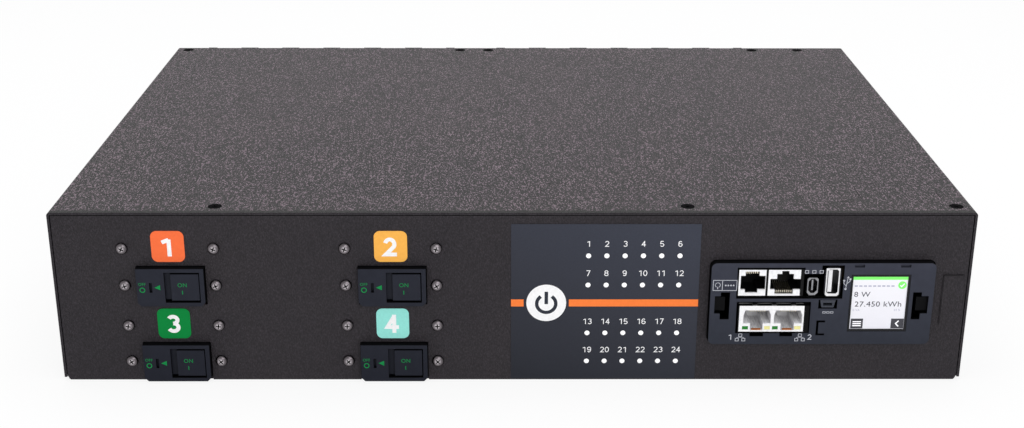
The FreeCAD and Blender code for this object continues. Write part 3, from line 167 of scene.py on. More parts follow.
class Finish:
    """A material under construction: its nodes and the shader that they feed."""

    def __init__(self, name):
        self.material = bpy.data.materials.new(name)
        self.material.use_nodes = True
        self.tree = self.material.node_tree
        self.shader = self.tree.nodes["Principled BSDF"]
        self.place = self.add("ShaderNodeTexCoord").outputs["Object"]

    def add(self, kind, **values):
        item = self.tree.nodes.new(kind)
        for name, value in values.items():
            setattr(item, name, value)
        return item

    def link(self, source, target):
        self.tree.links.new(source, target)

    def set(self, **values):
        for name, value in values.items():
            self.shader.inputs[name.replace("_", " ")].default_value = value
        return self

    def noise(self, scale, detail=2.0, roughness=0.5, stretch=None):
        item = self.add("ShaderNodeTexNoise")
        item.inputs["Scale"].default_value = scale
        item.inputs["Detail"].default_value = detail
        item.inputs["Roughness"].default_value = roughness
        source = self.place
        if stretch:
            mapping = self.add("ShaderNodeMapping")
            mapping.inputs["Scale"].default_value = stretch
            self.link(self.place, mapping.inputs["Vector"])
            source = mapping.outputs["Vector"]
        self.link(source, item.inputs["Vector"])
        return item.outputs["Fac"]

    def ramp(self, factor, stops):
        """Colours or greys along a factor: pairs of position and colour."""
        item = self.add("ShaderNodeValToRGB")
        ramp = item.color_ramp
        while len(ramp.elements) < len(stops):
            ramp.elements.new(0.5)
        for element, (position, colour) in zip(ramp.elements, stops):
            element.position = position
            element.color = colour
        self.link(factor, item.inputs["Fac"])
        return item.outputs["Color"]

    def blend(self, pattern, first, last):
        """Colours between two, by a pattern."""
        return self.ramp(pattern, [(0.3, first), (0.7, last)])

    def tone(self, colour, pattern, low, high):
        """A colour made darker and lighter by a pattern, within two factors."""
        return self.mix(1.0, colour, self.blend(pattern, grey(low), grey(high)), "MULTIPLY")

    def span(self, source, start, end, first=0.0, last=1.0):
        """A value that runs from first to last while its source runs from start to end."""
        item = self.add("ShaderNodeMapRange")
        for name, value in (("From Min", start), ("From Max", end), ("To Min", first), ("To Max", last)):
            item.inputs[name].default_value = value
        self.link(source, item.inputs["Value"])
        return item.outputs["Result"]

    def maths(self, operation, first, second=None):
        item = self.add("ShaderNodeMath", operation=operation)
        for socket, value in zip(item.inputs, (first, second)):
            if isinstance(value, (int, float)):
                socket.default_value = value
            elif value is not None:
                self.link(value, socket)
        return item.outputs[0]

    def mix(self, factor, first, second, blend="MIX"):
        item = self.add("ShaderNodeMix", data_type="RGBA", blend_type=blend)
        sockets = (item.inputs["Factor"], item.inputs[6], item.inputs[7])
        for socket, value in zip(sockets, (factor, first, second)):
            if isinstance(value, (int, float, tuple)):
                socket.default_value = value
            else:
                self.link(value, socket)
        return item.outputs[2]

    def position(self, letter):
        item = self.add("ShaderNodeSeparateXYZ")
        self.link(self.place, item.inputs[0])
        return item.outputs[letter]

    def within(self, letter, low, high):
        """1 between two places along an axis, 0 outside them."""
        place = self.position(letter)
        over = self.maths("GREATER_THAN", place, low * MM)
        return self.maths("MULTIPLY", over, self.maths("LESS_THAN", place, high * MM))

    def inside(self, node, left=0.0, right=0.0, bottom=0.0, top=0.0):
        """1 on the middle of a node's face, 0 on the edges of the given widths."""
        low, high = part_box(node)
        across = self.within("X", low.x / MM + left, high.x / MM - right)
        return self.maths("MULTIPLY", across, self.within("Z", low.z / MM + bottom, high.z / MM - top))

    def normal(self, letter):
        geometry = self.add("ShaderNodeNewGeometry")
        item = self.add("ShaderNodeSeparateXYZ")
        self.link(geometry.outputs["True Normal"], item.inputs[0])
        return item.outputs[letter]

    def facing_front(self):
        """1 on faces that look out of the front panel, 0 on all others."""
        return self.maths("LESS_THAN", self.normal("Y"), -FACING)

    def deeper_than(self, depth):
        """1 on what lies further back than a plane across the depth, 0 in front of it."""
        return self.maths("GREATER_THAN", self.position("Y"), depth * MM)

    def bump(self, height, strength, distance, rounding=None):
        item = self.add("ShaderNodeBump")
        item.inputs["Strength"].default_value = strength
        item.inputs["Distance"].default_value = distance
        self.link(height, item.inputs["Height"])
        if rounding:
            edge = self.add("ShaderNodeBevel", samples=4)
            edge.inputs["Radius"].default_value = rounding
            self.link(edge.outputs["Normal"], item.inputs["Normal"])
        self.link(item.outputs["Normal"], self.shader.inputs["Normal"])

    def colour(self, source):
        self.link(source, self.shader.inputs["Base Color"])

    def rough(self, source, low, high):
        self.link(self.span(source, 0.0, 1.0, low, high), self.shader.inputs["Roughness"])


def powder_coat():
    """Wrinkle-finish powder coat. Level faces get painted highlights on their wrinkle crests, so they read
    lighter than upright ones, and painted shade along the cover's bend at its front edge.
    """
    finish = Finish("casing_coat").set(Specular_IOR_Level=0.2)
    base = linear(40, 37, 41)
    warm = linear(43, 37, 41)
    wrinkles = finish.noise(1600.0, 2.0, 0.6, (1.0, 0.4, 0.55))
    upright = finish.ramp(wrinkles, [(0.28, shade(base, 0.55)), (0.5, base), (0.75, shade(base, 1.9))])
    # Painted highlights: the crests of level faces are painted far lighter than their hollows
    hollow, slope, crest = [shade(warm, factor) for factor in (0.02, 0.25, 7.4)]
    crests = finish.ramp(wrinkles, [(0.44, hollow), (0.53, slope), (0.63, crest)])
    # Painted shade on level faces in front of this depth, along the bend at the cover's front edge
    behind_bend = finish.deeper_than(front_of("top_cover") + BEND_SHADE_DEPTH)
    level = finish.mix(behind_bend, shade(base, 0.05), crests)
    # Faces that look up take the painted highlights, upright faces keep the plain wrinkles
    lit = finish.maths("GREATER_THAN", finish.normal("Z"), FACING)
    cloud = finish.blend(finish.noise(22.0, 3.0), (0.9, 0.87, 0.9, 1.0), (1.1, 1.07, 1.06, 1.0))
    finish.colour(finish.mix(1.0, finish.mix(lit, upright, level), cloud, "MULTIPLY"))
    relief = finish.maths("ADD", wrinkles, finish.noise(2400.0, 2.0))
    finish.bump(relief, 0.7, 0.0004)
    finish.rough(wrinkles, 0.36, 0.6)
    return finish.material


def moulded(name, colour, roughness=0.45, texture=2200.0, depth=0.00004, rounding=0.0002):
    """Moulded plastic with a fine spark texture and slightly rounded edges."""
    finish = Finish(name).set(Specular_IOR_Level=0.2)
    cloud = finish.noise(160.0, 3.0)
    finish.colour(finish.ramp(cloud, [(0.25, shade(colour, 0.88)), (0.75, shade(colour, 1.12))]))
    finish.bump(finish.noise(texture, 2.0), 0.4, depth, rounding)
    finish.rough(finish.noise(420.0, 2.0), roughness - 0.06, roughness + 0.08)
    return finish


def dark_sided(name, low_colour, high_colour, side, roughness, low, high, depth, shade_fade_depth=0.4):
    """Moulding whose front, down to a depth, is slate and a little lighter towards its top; painted shade
    covers its other faces and what lies further back.
    """
    finish = Finish(name).set(Specular_IOR_Level=0.07)
    up = finish.span(finish.position("Z"), low * MM, high * MM)
    plain = finish.ramp(up, [(0.0, low_colour), (1.0, high_colour)])
    face = finish.tone(plain, finish.noise(240.0, 3.0), 0.93, 1.06)
    # Painted shade fades in over a depth behind the slate front and covers every face that does not face
    # the front
    fade = finish.span(finish.position("Y"), depth * MM, (depth + shade_fade_depth) * MM, 1.0, 0.0)
    shown = finish.maths("MULTIPLY", finish.facing_front(), fade)
    finish.colour(finish.mix(shown, side, face))
    finish.bump(finish.noise(2400.0, 2.0), 0.35, 0.00003, 0.00018)
    finish.rough(finish.noise(500.0, 2.0), roughness - 0.05, roughness + 0.08)
    return finish.material


def metal(name, colour, roughness, brushed=None):
    """Bare or plated metal, with a fine grain that may be drawn out one way."""
    finish = Finish(name).set(Metallic=1.0)
    grain = finish.noise(600.0, 4.0, 0.6, brushed)
    finish.colour(finish.ramp(grain, [(0.25, shade(colour, 0.82)), (0.75, shade(colour, 1.12))]))
    finish.bump(grain, 0.35, 0.00002, 0.00008)
    finish.rough(grain, roughness - 0.08, roughness + 0.1)
    return finish.material


def shell_metal(name, node, rim, inside, roughness, edge):
    """Bright rim, with painted shade on its outer edge and on the walls behind it."""
    finish = Finish(name).set(Metallic=1.0)
    pattern = finish.noise(500.0, 3.0)
    # Painted shade on the rim's outer edge and on faces that do not face the front
    edged = finish.mix(finish.inside(node, edge, edge, edge, edge), inside, rim)
    hue = finish.mix(finish.facing_front(), inside, edged)
    finish.colour(finish.tone(hue, pattern, 0.86, 1.08))
    finish.rough(pattern, roughness - 0.06, roughness + 0.1)
    finish.bump(pattern, 0.25, 0.00002, 0.00008)
    return finish.material


def head_metal():
    """Nickel of the round heads, with a painted highlight on the crown and painted shade at the rim and
    down the cross.
    """
    finish = Finish("head_nickel").set(Metallic=1.0)
    rise = finish.span(finish.position("Y"), (FRONT - 0.5) * MM, (FRONT - PANEL_SCREW_RISE) * MM)
    # Painted shade at the rim and in the cross, and a painted highlight on the crown, by height above the
    # panel
    rim, flank = linear(10, 9, 10), linear(56, 53, 55)
    shoulder, crown = linear(112, 106, 110), linear(210, 204, 208)
    hue = finish.ramp(rise, [(0.0, rim), (0.35, flank), (0.8, shoulder), (1.0, crown)])
    finish.colour(finish.tone(hue, finish.noise(700.0, 3.0), 0.85, 1.1))
    finish.rough(finish.noise(900.0), 0.18, 0.34)
    return finish.material


def printed(name, colour, roughness=0.4, glow=0.0):
    """Ink or film: one colour with a faint uneven cover."""
    finish = Finish(name).set(Specular_IOR_Level=0.1)
    cover = finish.noise(900.0, 2.0)
    finish.colour(finish.ramp(cover, [(0.2, shade(colour, 0.94)), (0.8, shade(colour, 1.04))]))
    finish.rough(cover, roughness - 0.05, roughness + 0.08)
    finish.bump(cover, 0.15, 0.00001)
    if glow:
        finish.set(Emission_Color=colour, Emission_Strength=glow)
    return finish.material


def board_laminate(name, dark, light):
    """Glass-fibre board with the weave of its cloth."""
    finish = Finish(name).set(Specular_IOR_Level=0.25)
    threads = [finish.noise(700.0, 2.0, 0.5, stretch) for stretch in ((1.0, 1.0, 0.2), (0.2, 1.0, 1.0))]
    weave = finish.maths("MULTIPLY", *threads)
    finish.colour(finish.ramp(weave, [(0.1, dark), (0.5, light)]))
    finish.rough(weave, 0.3, 0.5)
    finish.bump(weave, 0.3, 0.00003, 0.0001)
    return finish.material


def status_film():
    """Slate film that is lighter towards its upper right."""
    finish = Finish("status_film").set(Specular_IOR_Level=0.1)
    across = finish.maths("MULTIPLY", finish.position("X"), 4.0)
    up = finish.maths("MULTIPLY", finish.position("Z"), 9.0)
    dark, middle, light = linear(42, 44, 51), linear(53, 55, 64), linear(60, 63, 74)
    face = finish.ramp(finish.maths("ADD", across, up), [(0.05, dark), (0.55, middle), (1.0, light)])
    finish.colour(finish.tone(face, finish.noise(1700.0, 2.0), 0.95, 1.05))
    finish.bump(finish.noise(1400.0, 2.0), 0.2, 0.00002)
    finish.rough(finish.noise(500.0, 2.0), 0.42, 0.58)
    return finish.material


def socket_white(name, node, right, bottom):
    """White face with painted shade along its edges, where the gap round it lies, and painted shade on all
    that lies just behind its face.
    """
    face_depth = 0.9
    finish = Finish(name).set(Specular_IOR_Level=0.15)
    face = finish.blend(finish.noise(600.0, 2.0), linear(236, 237, 240), linear(252, 252, 253))
    # Painted shade along the face's edges, in place of the gap round it
    edged = finish.mix(finish.inside(node, 0.0, right, bottom, 0.3), PAINTED_SHADE_BLACK, face)
    # Painted shade inside the socket, just behind its face
    finish.colour(finish.mix(finish.deeper_than(MODULE_FRONT + face_depth), edged, PAINTED_SHADE_BLACK))
    finish.bump(finish.noise(1800.0), 0.2, 0.00002, 0.0001)
    finish.rough(finish.noise(500.0), 0.35, 0.5)
    return finish.material


def shield_metal():
    """Bright nickel, pale on the face and grey down the sockets, with painted shade above the sockets and
    along the edges of the face.
    """
    finish = Finish("shield_nickel").set(Specular_IOR_Level=0.08)
    pattern = finish.noise(260.0, 3.0, 0.5, (6.0, 1.0, 1.0))
    inside = finish.blend(pattern, linear(205, 205, 210), linear(250, 250, 252))
    face = finish.blend(finish.noise(800.0), linear(240, 240, 242), linear(253, 253, 254))
    shield = finish.mix(finish.facing_front(), inside, face)
    # Painted shade above the sockets, reaching lower on faces that look up
    roof = finish.maths("GREATER_THAN", finish.normal("Z"), 0.5)
    raised = finish.maths("ADD", finish.position("Z"), finish.maths("MULTIPLY", roof, ROOF_SHADE_REACH * MM))
    above = finish.maths("GREATER_THAN", raised, SHIELD_SHADE_TOP * MM)
    shown = finish.mix(above, shield, PAINTED_SHADE_BLACK)
    # Painted shade along the edges of the shield's face
    finish.colour(finish.mix(finish.inside("network_jack", 0.6, 2.4, 0.6), PAINTED_SHADE_BLACK, shown))
    finish.bump(pattern, 0.2, 0.00003, 0.0001)
    finish.rough(pattern, 0.25, 0.42)
    return finish.material


def link_lights():
    """Green at the left of each socket and pale yellow at its right."""
    finish = Finish("link_lights")
    margin = 0.4
    first_light = box_of("network_lights")[0].x - margin
    offset = finish.maths("SUBTRACT", finish.position("X"), first_light * MM)
    turns = finish.maths("FRACT", finish.maths("DIVIDE", offset, NETWORK_PITCH * MM))
    left = finish.maths("LESS_THAN", turns, 0.5)
    hue = finish.mix(left, linear(228, 221, 148), linear(0, 114, 18))
    finish.colour(finish.tone(hue, finish.noise(900.0), 0.92, 1.0))
    finish.link(hue, finish.shader.inputs["Emission Color"])
    finish.set(Emission_Strength=0.15, Roughness=0.2)
    return finish.material


def screen_face():
    """Lit display, its white slightly bluer towards the bottom."""
    finish = Finish("screen_face")
    up = finish.maths("MULTIPLY", finish.position("Z"), 17.0)
    plain = finish.ramp(up, [(0.45, linear(228, 228, 236)), (1.0, linear(240, 239, 244))])
    shown = finish.tone(plain, finish.noise(5000.0), 0.97, 1.0)
    finish.colour(shown)
    finish.link(shown, finish.shader.inputs["Emission Color"])
    finish.set(Emission_Strength=0.1, Roughness=0.25)
    return finish.material


def dress(material, *names):
    """Give a material to nodes. A name that ends in an underscore stands for four numbered nodes."""
    for name in names:
        full_names = [name + str(number) for number in NUMBERS] if name.endswith("_") else [name]
        for full_name in full_names:
            item = nodes[full_name]
            item.data.materials.clear()
            item.data.materials.append(material)


def dress_front():
    dress(powder_coat(), "chassis_tray", "top_cover", "badge_plate")
    high_row, low_row = ROWS
    face_depth = 0.6
    # Painted shade on the bezels' sides and behind their faces
    bezel = dark_sided("breaker_shaded_slate", CASE_LOW, CASE_HIGH, PAINTED_SHADE_BLACK, 0.45, low_row, high_row,
                       BEZEL_FRONT + face_depth)
    dress(bezel, "breaker_case_")
    # Painted shade on the rockers' sides, deepening over 4 mm behind the face where the arm runs under the
    # guard
    rocker = dark_sided("rocker_black", CASE_LOW, CASE_HIGH, linear(14, 15, 18), 0.38, low_row, high_row,
                        ROCKER_FRONT + face_depth, shade_fade_depth=4.0)
    dress(rocker, "breaker_rocker_")
    colours = (linear(255, 116, 66), linear(255, 184, 84), linear(0, 133, 60), linear(152, 232, 221))
    for number, colour in enumerate(colours, start=1):
        dress(printed("label_colour_%d" % number, colour, 0.45), "circuit_label_%d" % number)
    dress(status_film(), "status_overlay")
    dress(printed("window_white", linear(250, 250, 250), 0.35, 0.25), "light_strips")
    screw_black = moulded("screw_black", linear(5, 5, 6), 0.6).set(Specular_IOR_Level=0.01)
    dress(screw_black.material, "cover_screws")
    dress(metal("screw_nickel", linear(150, 145, 147), 0.3), "breaker_screws")


def dress_module():
    bottom = box_of("monitor_housing")[0].z
    # Painted shade on the module's sides and in its latch windows behind the plate
    slate = dark_sided("module_slate", SLATE_LOW, SLATE_HIGH, PAINTED_SHADE_BLACK, 0.5, bottom, SLATE_TOP,
                       MODULE_FRONT + PLATE_DEPTH)
    dress(slate, "monitor_housing")
    dress(socket_white("sensor_white", "sensor_jack", 0.9, 0.8), "sensor_jack")
    dress(socket_white("serial_white", "serial_jack", 1.6, 0.8), "serial_jack")
    dress(
        shell_metal("service_chrome", "service_port", linear(150, 150, 154), linear(14, 14, 16), 0.22, 0.6),
        "service_port")
    dress(
        shell_metal("port_nickel", "host_port_shell", linear(238, 238, 240), linear(40, 40, 44), 0.3, 0.7),
        "host_port_shell")
    dress(printed("tongue_white", linear(240, 240, 242)), "host_port_tongue")
    dress(moulded("port_slate", linear(58, 61, 70)).material, "power_port")
    dress(shield_metal(), "network_jack")
    dress(link_lights(), "network_lights")
    dress(metal("contact_gold", linear(240, 232, 212), 0.3), "jack_contacts")
    dress(moulded("display_black", linear(22, 23, 27), 0.3).material, "display_frame")
    dress(screen_face(), "display_panel")
    dress(board_laminate("board_black", linear(10, 11, 11), linear(18, 20, 19)), "monitor_board")


def dress_rear_and_inside():
    dress(moulded("outlet_black", linear(30, 30, 33), 0.5, 1600.0, 0.00005, 0.0004).material,
          "outlet_bank_")
    dress(metal("tinned_copper", linear(214, 196, 168), 0.35, (1.0, 1.0, 4.0)), "outlet_contacts",
          "breaker_terminals", "supply_bars", "load_bars", "earth_bar")
    dress(metal("zinc_plate", linear(196, 198, 200), 0.35), "ear_nuts", "board_screws", "terminal_screws",
          "earth_stud", "earth_nut")
    dress(metal("bright_brass", linear(206, 172, 98), 0.3), "board_standoffs")
    dress(board_laminate("board_green", linear(18, 62, 38), linear(38, 98, 60)), "status_board",
          "outlet_boards", "supply_board")
    dress(printed("led_yellow", linear(236, 214, 120), 0.3), "status_leds")
    dress(moulded("gland_black", linear(34, 34, 37), 0.45, 1500.0, 0.00004, 0.0004).material,
          "gland_body", "gland_nut", "gland_locknut")
    dress(moulded("seal_rubber", linear(22, 22, 23), 0.75, 900.0, 0.00005).material, "gland_seal")
    dress(moulded("component_black", linear(28, 28, 31), 0.4).material, "outlet_relays",
          "supply_transformer", "supply_capacitors")
    dress(moulded("block_ivory", linear(222, 214, 190), 0.45).material, "terminal_block")


# Meshes


def as_mesh(name, gathered):
    made = bpy.data.meshes.new(name)
    gathered.to_mesh(made)
    gathered.free()
    return made


def new_object(name, mesh, material, body="casing"):
    item = bpy.data.objects.new(name, mesh)
    bpy.context.scene.collection.objects.link(item)
    mesh.materials.append(material)
    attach(item, body)
    return item


def solid_between(mesh, first, second):
    """A solid between two outlines that have as many points."""
    ends = [[mesh.verts.new(point) for point in outline] for outline in (first, second)]
    for end in ends:
        mesh.faces.new(end)
    for index in range(len(first)):
        following = (index + 1) % len(first)
        mesh.faces.new((ends[0][index], ends[1][index], ends[1][following], ends[0][following]))


# Prints


def lettering(text, height):
    """The flat outlines of a text, its middle at the origin and its letters of the given height."""
    curve = bpy.data.curves.new("lettering", "FONT")
    curve.body = text
    curve.size = 1.0
    curve.resolution_u = 5
    curve.space_character = 1.06
    item = bpy.data.objects.new("lettering", curve)
    bpy.context.scene.collection.objects.link(item)
    shown = item.evaluated_get(bpy.context.evaluated_depsgraph_get())
    mesh = bpy.data.meshes.new_from_object(shown)
    bpy.data.objects.remove(item)
    corners = [vertex.co for vertex in mesh.vertices]
    low = Vector([min(corner[axis] for corner in corners) for axis in (0, 1)])
    high = Vector([max(corner[axis] for corner in corners) for axis in (0, 1)])
    scale = height / (high.y - low.y)
    middle = (low + high) / 2
    mesh.transform(Matrix.Scale(scale, 4) @ Matrix.Translation((-middle.x, -middle.y, 0)))
    return mesh


def oval(x, z, across, up, start, end, steps=20):
    """Points along an oval's rim, from one angle to another in degrees."""
    angles = [math.radians(start + (end - start) * step / steps) for step in range(steps + 1)]
    return [(x + across * math.cos(angle), z + up * math.sin(angle)) for angle in angles]


def circle(x, z, radius, sides):
    """The corners of a circle, the first of them not repeated."""
    return oval(x, z, radius, radius, 0, 360 - 360 / sides, sides - 1)


def figure_strokes(figure, height, stroke):
    """The middle lines of a figure's strokes about its centre, and whether each is closed."""
    top = (height - stroke) / 2
    side = height * FIGURE_HALF_WIDTH - stroke / 2
    upper, lower = top * 0.47, top * 0.53
    bowl = (height * 0.06 + top) / 2
    ring = oval(0, bowl - top, side, bowl, 0, 342)
    stem = side * 0.45
    if figure == 0:
        return [(oval(0, 0, side, top, 0, 342), True)]
    if figure == 1:
        flag = (stem - height * 0.35, top - height * 0.16)
        return [([(stem, -top - stroke / 2), (stem, top)], False),
                ([flag, (stem, top - stroke * 0.1)], False)]
    if figure == 2:
        head = oval(0, top - height * 0.26, side * 0.94, height * 0.26, 165, -28)
        return [(head + [(-side * 0.85, -top), (side + stroke / 2, -top)], False)]
    if figure == 3:
        return [(oval(0, top - upper, side * 0.9, upper, 155, -92), False),
                (oval(0, lower - top, side, lower, 92, -155), False)]
    if figure == 4:
        bar = -height * 0.18
        return [([(stem, -top - stroke / 2), (stem, top + stroke / 2)], False),
                ([(stem, top), (-side, bar), (side + stroke / 2, bar)], False)]
    if figure == 5:
        head = [(side * 0.85, top), (-side * 0.68, top), (-side * 0.86, 0.0)]
        return [(head + oval(0, bowl - top, side, bowl, 128, -150), False)]
    if figure == 6:
        return [(ring, True), (oval(0, 0, side, top, 42, 180), False)]
    if figure == 7:
        return [([(-side, top), (side, top), (-side * 0.4, -top - stroke / 2)], False)]
    if figure == 8:
        return [(oval(0, top - upper, side * 0.9, upper, 0, 342), True),
                (oval(0, lower - top, side, lower, 0, 342), True)]
    turned = figure_strokes(6, height, stroke)
    return [([(-u, -v) for u, v in points], closed) for points, closed in turned]


class Print:
    """Thin raised print on a plane that faces the front, gathered into one mesh."""

    def __init__(self, plane):
        self.plane = plane
        self.mesh = bmesh.new()
        self.lift = self.mesh.verts.layers.float.new("lift")

    def corner(self, x, z, lift=0.0):
        """A corner on the plane, and how much higher than the rest of the print it will stand."""
        made = self.mesh.verts.new((x, 0.0, z))
        made[self.lift] = lift
        return made

    def area(self, outline):
        self.mesh.faces.new([self.corner(x, z) for x, z in outline])

    def box(self, left, right, low, high):
        self.area([(left, low), (right, low), (right, high), (left, high)])

    def disc(self, x, z, radius, sides=48):
        self.area(circle(x, z, radius, sides))

    def band(self, points, width, closed=False, lift=0.0):
        """A line of even width along points, mitred at its corners."""
        count = len(points)
        inner, outer = [], []
        for index, (x, z) in enumerate(points):
            before = points[index - 1] if closed or index > 0 else None
            after = points[(index + 1) % count] if closed or index < count - 1 else None
            directions = []
            if before:
                directions.append((Vector((x, z)) - Vector(before)).normalized())
            if after:
                directions.append((Vector(after) - Vector((x, z))).normalized())
            along = sum(directions, Vector((0, 0))).normalized()
            side = Vector((-along.y, along.x))
            reach = width / 2 / max(0.3, along.dot(directions[0]))
            inner.append(self.corner(x - side.x * reach, z - side.y * reach, lift))
            outer.append(self.corner(x + side.x * reach, z + side.y * reach, lift))
        for index in range(count if closed else count - 1):
            following = (index + 1) % count
            self.mesh.faces.new((inner[index], inner[following], outer[following], outer[index]))

    def frame(self, left, right, low, high, width):
        self.band([(left, low), (right, low), (right, high), (left, high)], width, True)

    def arc(self, x, z, radius, width, start, end, steps=40):
        self.band(oval(x, z, radius, radius, start, end, steps), width)

    def words(self, text, x, z, height, spread=1.0):
        """A line of letters with its middle at x and z, drawn wider by a factor."""
        mesh = lettering(text, height)
        for vertex in mesh.vertices:
            u, v, _ = vertex.co
            vertex.co = (x + u * spread, 0.0, z + v)
        self.mesh.from_mesh(mesh)
        bpy.data.meshes.remove(mesh)

    def number(self, value, x, z, height, stroke):
        """A whole number in plain upright figures, its middle at x and z."""
        figures = str(value)
        pitch = height * FIGURE_PITCH
        for index, figure in enumerate(figures):
            place = x + pitch * (index - (len(figures) - 1) / 2)
            for step, (points, closed) in enumerate(figure_strokes(int(figure), height, stroke)):
                moved = [(place + u, z + v) for u, v in points]
                self.band(moved, stroke, closed, STROKE_STEP * step)

    def finish(self, name, material, body="casing"):
        """Raise the print off its plane and make it a piece."""
        flat = list(self.mesh.faces)
        bmesh.ops.recalc_face_normals(self.mesh, faces=flat)
        raised = bmesh.ops.extrude_face_region(self.mesh, geom=flat)["geom"]
        for item in raised:
            if isinstance(item, bmesh.types.BMVert):
                item.co.y = -PRINT_HEIGHT * (1.0 + item[self.lift])
        for vertex in self.mesh.verts:
            vertex.co = Vector((vertex.co.x, vertex.co.y + self.plane, vertex.co.z)) * MM
        bmesh.ops.recalc_face_normals(self.mesh, faces=self.mesh.faces)
        new_object(name, as_mesh(name, self.mesh), material, body)


def make_label_digits(white):
    left_shift, drop, height, stroke = 0.35, 0.2, 9.65, 1.95
    for number in NUMBERS:
        low, high = box_of("circuit_label_%d" % number)
        middle = (low + high) / 2
        digit = Print(LABEL_FRONT)
        digit.number(number, middle.x - left_shift, middle.z - drop, height, stroke)
        digit.finish("label_digit_%d" % number, white)


def make_breaker_print(green):
    """OFF and a ring beside the slot with its arrow on the case, ON and a bar on the rocker."""
    off_shift, on_shift = -12.9, 6.2
    for number, (column, row) in enumerate(BREAKERS, start=1):
        off, on = column + off_shift, column + on_shift
        case = Print(BEZEL_FRONT)
        case.words("OFF", off, row + 1.8, 1.4)
        case.arc(off, row - 1.2, 1.15, 0.45, 0, 360, 28)
        case.area([(off + 5.8, row + 0.1), (off + 8.6, row - 1.2), (off + 8.6, row + 1.4)])
        case.finish("case_print_%d" % number, green)
        rocker = Print(ROCKER_FRONT)
        rocker.words("ON", on, row + 1.2, 2.0)
        rocker.box(on - 0.3, on + 0.1, row - 3.6, row - 1.7)
        rocker.finish("rocker_print_%d" % number, green, "rocker_%d" % number)


def make_status_print(white, orange, slate):
    """Figures over the lights, and a stripe that stops short of a disc with a pictogram."""
    numbers = Print(OVERLAY_FRONT)
    for number, (x, z) in enumerate(LIGHTS, start=1):
        numbers.number(number, x, z + NUMBER_RISE, NUMBER_HEIGHT, NUMBER_STROKE)
    numbers.finish("status_numbers", white)
    gap, rise = 1.5, 2.0
    reach = math.sqrt((DISC_RADIUS + gap) ** 2 - rise ** 2)
    low, high = box_of("status_overlay")
    stripe = Print(OVERLAY_FRONT)
    stripe.box(low.x, DISC_X - reach, STRIPE_LOW, STRIPE_HIGH)
    stripe.box(DISC_X + reach, high.x, STRIPE_LOW, STRIPE_HIGH)
    stripe.finish("status_stripe", orange)
    disc = Print(OVERLAY_FRONT)
    disc.disc(DISC_X, DISC_Z, DISC_RADIUS, 96)
    disc.finish("status_disc", white)
    mark = Print(OVERLAY_FRONT - PRINT_HEIGHT)
    mark.arc(DISC_X, DISC_Z - 0.4, 4.6, 1.7, 125, 415)
    mark.box(DISC_X - 0.85, DISC_X + 0.85, DISC_Z - 0.6, DISC_Z + 5.9)
    mark.finish("status_pictogram", slate)


def network_symbol(ink, x, z):
    """Three small cells joined by lines."""
    for cell_x, cell_z in ((x, z + 1.5), (x - 1.6, z - 0.9), (x + 1.6, z - 0.9)):
        ink.frame(cell_x - 0.75, cell_x + 0.75, cell_z - 0.7, cell_z + 0.7, 0.28)
    ink.band([(x - 1.6, z - 0.2), (x - 1.6, z + 0.3), (x + 1.6, z + 0.3), (x + 1.6, z - 0.2)], 0.2)


def cell_row(ink, x, z, pitch, half_width, half_height, stroke):
    """Three small cells side by side."""
    for step in range(3):
        middle = x + pitch * step
        ink.frame(middle - half_width, middle + half_width, z - half_height, z + half_height, stroke)


def sensor_symbol(ink, left, low):
    """A frame with a dial in its left part and four dots in its right part."""
    high, bar = low + 5.3, left + 4.4
    ink.frame(left, left + 11.3, low, high, 0.3)
    ink.band([(bar, low), (bar, high)], 0.3)
    ink.arc(left + 2.2, low + 2.8, 1.2, 0.28, -60, 240, 20)
    ink.box(left + 2.0, left + 2.4, low + 0.7, low + 1.9)
    for step in range(4):
        ink.disc(left + 6.0 + 1.25 * step, low + 2.65, 0.42, 16)


def host_symbol(ink, x, z):
    """A stem from a disc to an arrow head, with branches to a small disc and a square."""
    stem = [(0.05, 0.1), (0.85, 5.9)]
    left_branch = [(0.25, 1.5), (-1.05, 2.9), (-0.95, 3.9)]
    right_branch = [(0.55, 2.9), (1.85, 3.9), (1.95, 4.7)]
    for line in (stem, left_branch, right_branch):
        ink.band([(x + u, z + v) for u, v in line], 0.3)
    ink.disc(x, z, 0.55, 16)
    ink.disc(x - 0.95, z + 4.3, 0.5, 16)
    ink.area([(x + 0.25, z + 5.7), (x + 1.55, z + 5.7), (x + 0.95, z + 6.7)])
    ink.box(x + 1.55, x + 2.45, z + 4.6, z + 5.5)


def make_module_print(grey_ink):
    """Small symbols of the module's face."""
    ink = Print(MODULE_FRONT)
    sensor_symbol(ink, 95.9, 49.5)
    cell_row(ink, 140.3, 59.2, 3.5, 0.8, 0.7, 0.28)
    cell_row(ink, 150.0, 38.0, 1.85, 0.65, 0.4, 0.22)
    host_symbol(ink, 159.35, 50.3)
    for number, number_x, symbol_x in ((1, 105.4, 110.3), (2, 143.9, 139.2)):
        ink.number(number, number_x, 24.9, 2.9, 0.42)
        network_symbol(ink, symbol_x, 24.4)
    ink.finish("module_symbols", grey_ink)


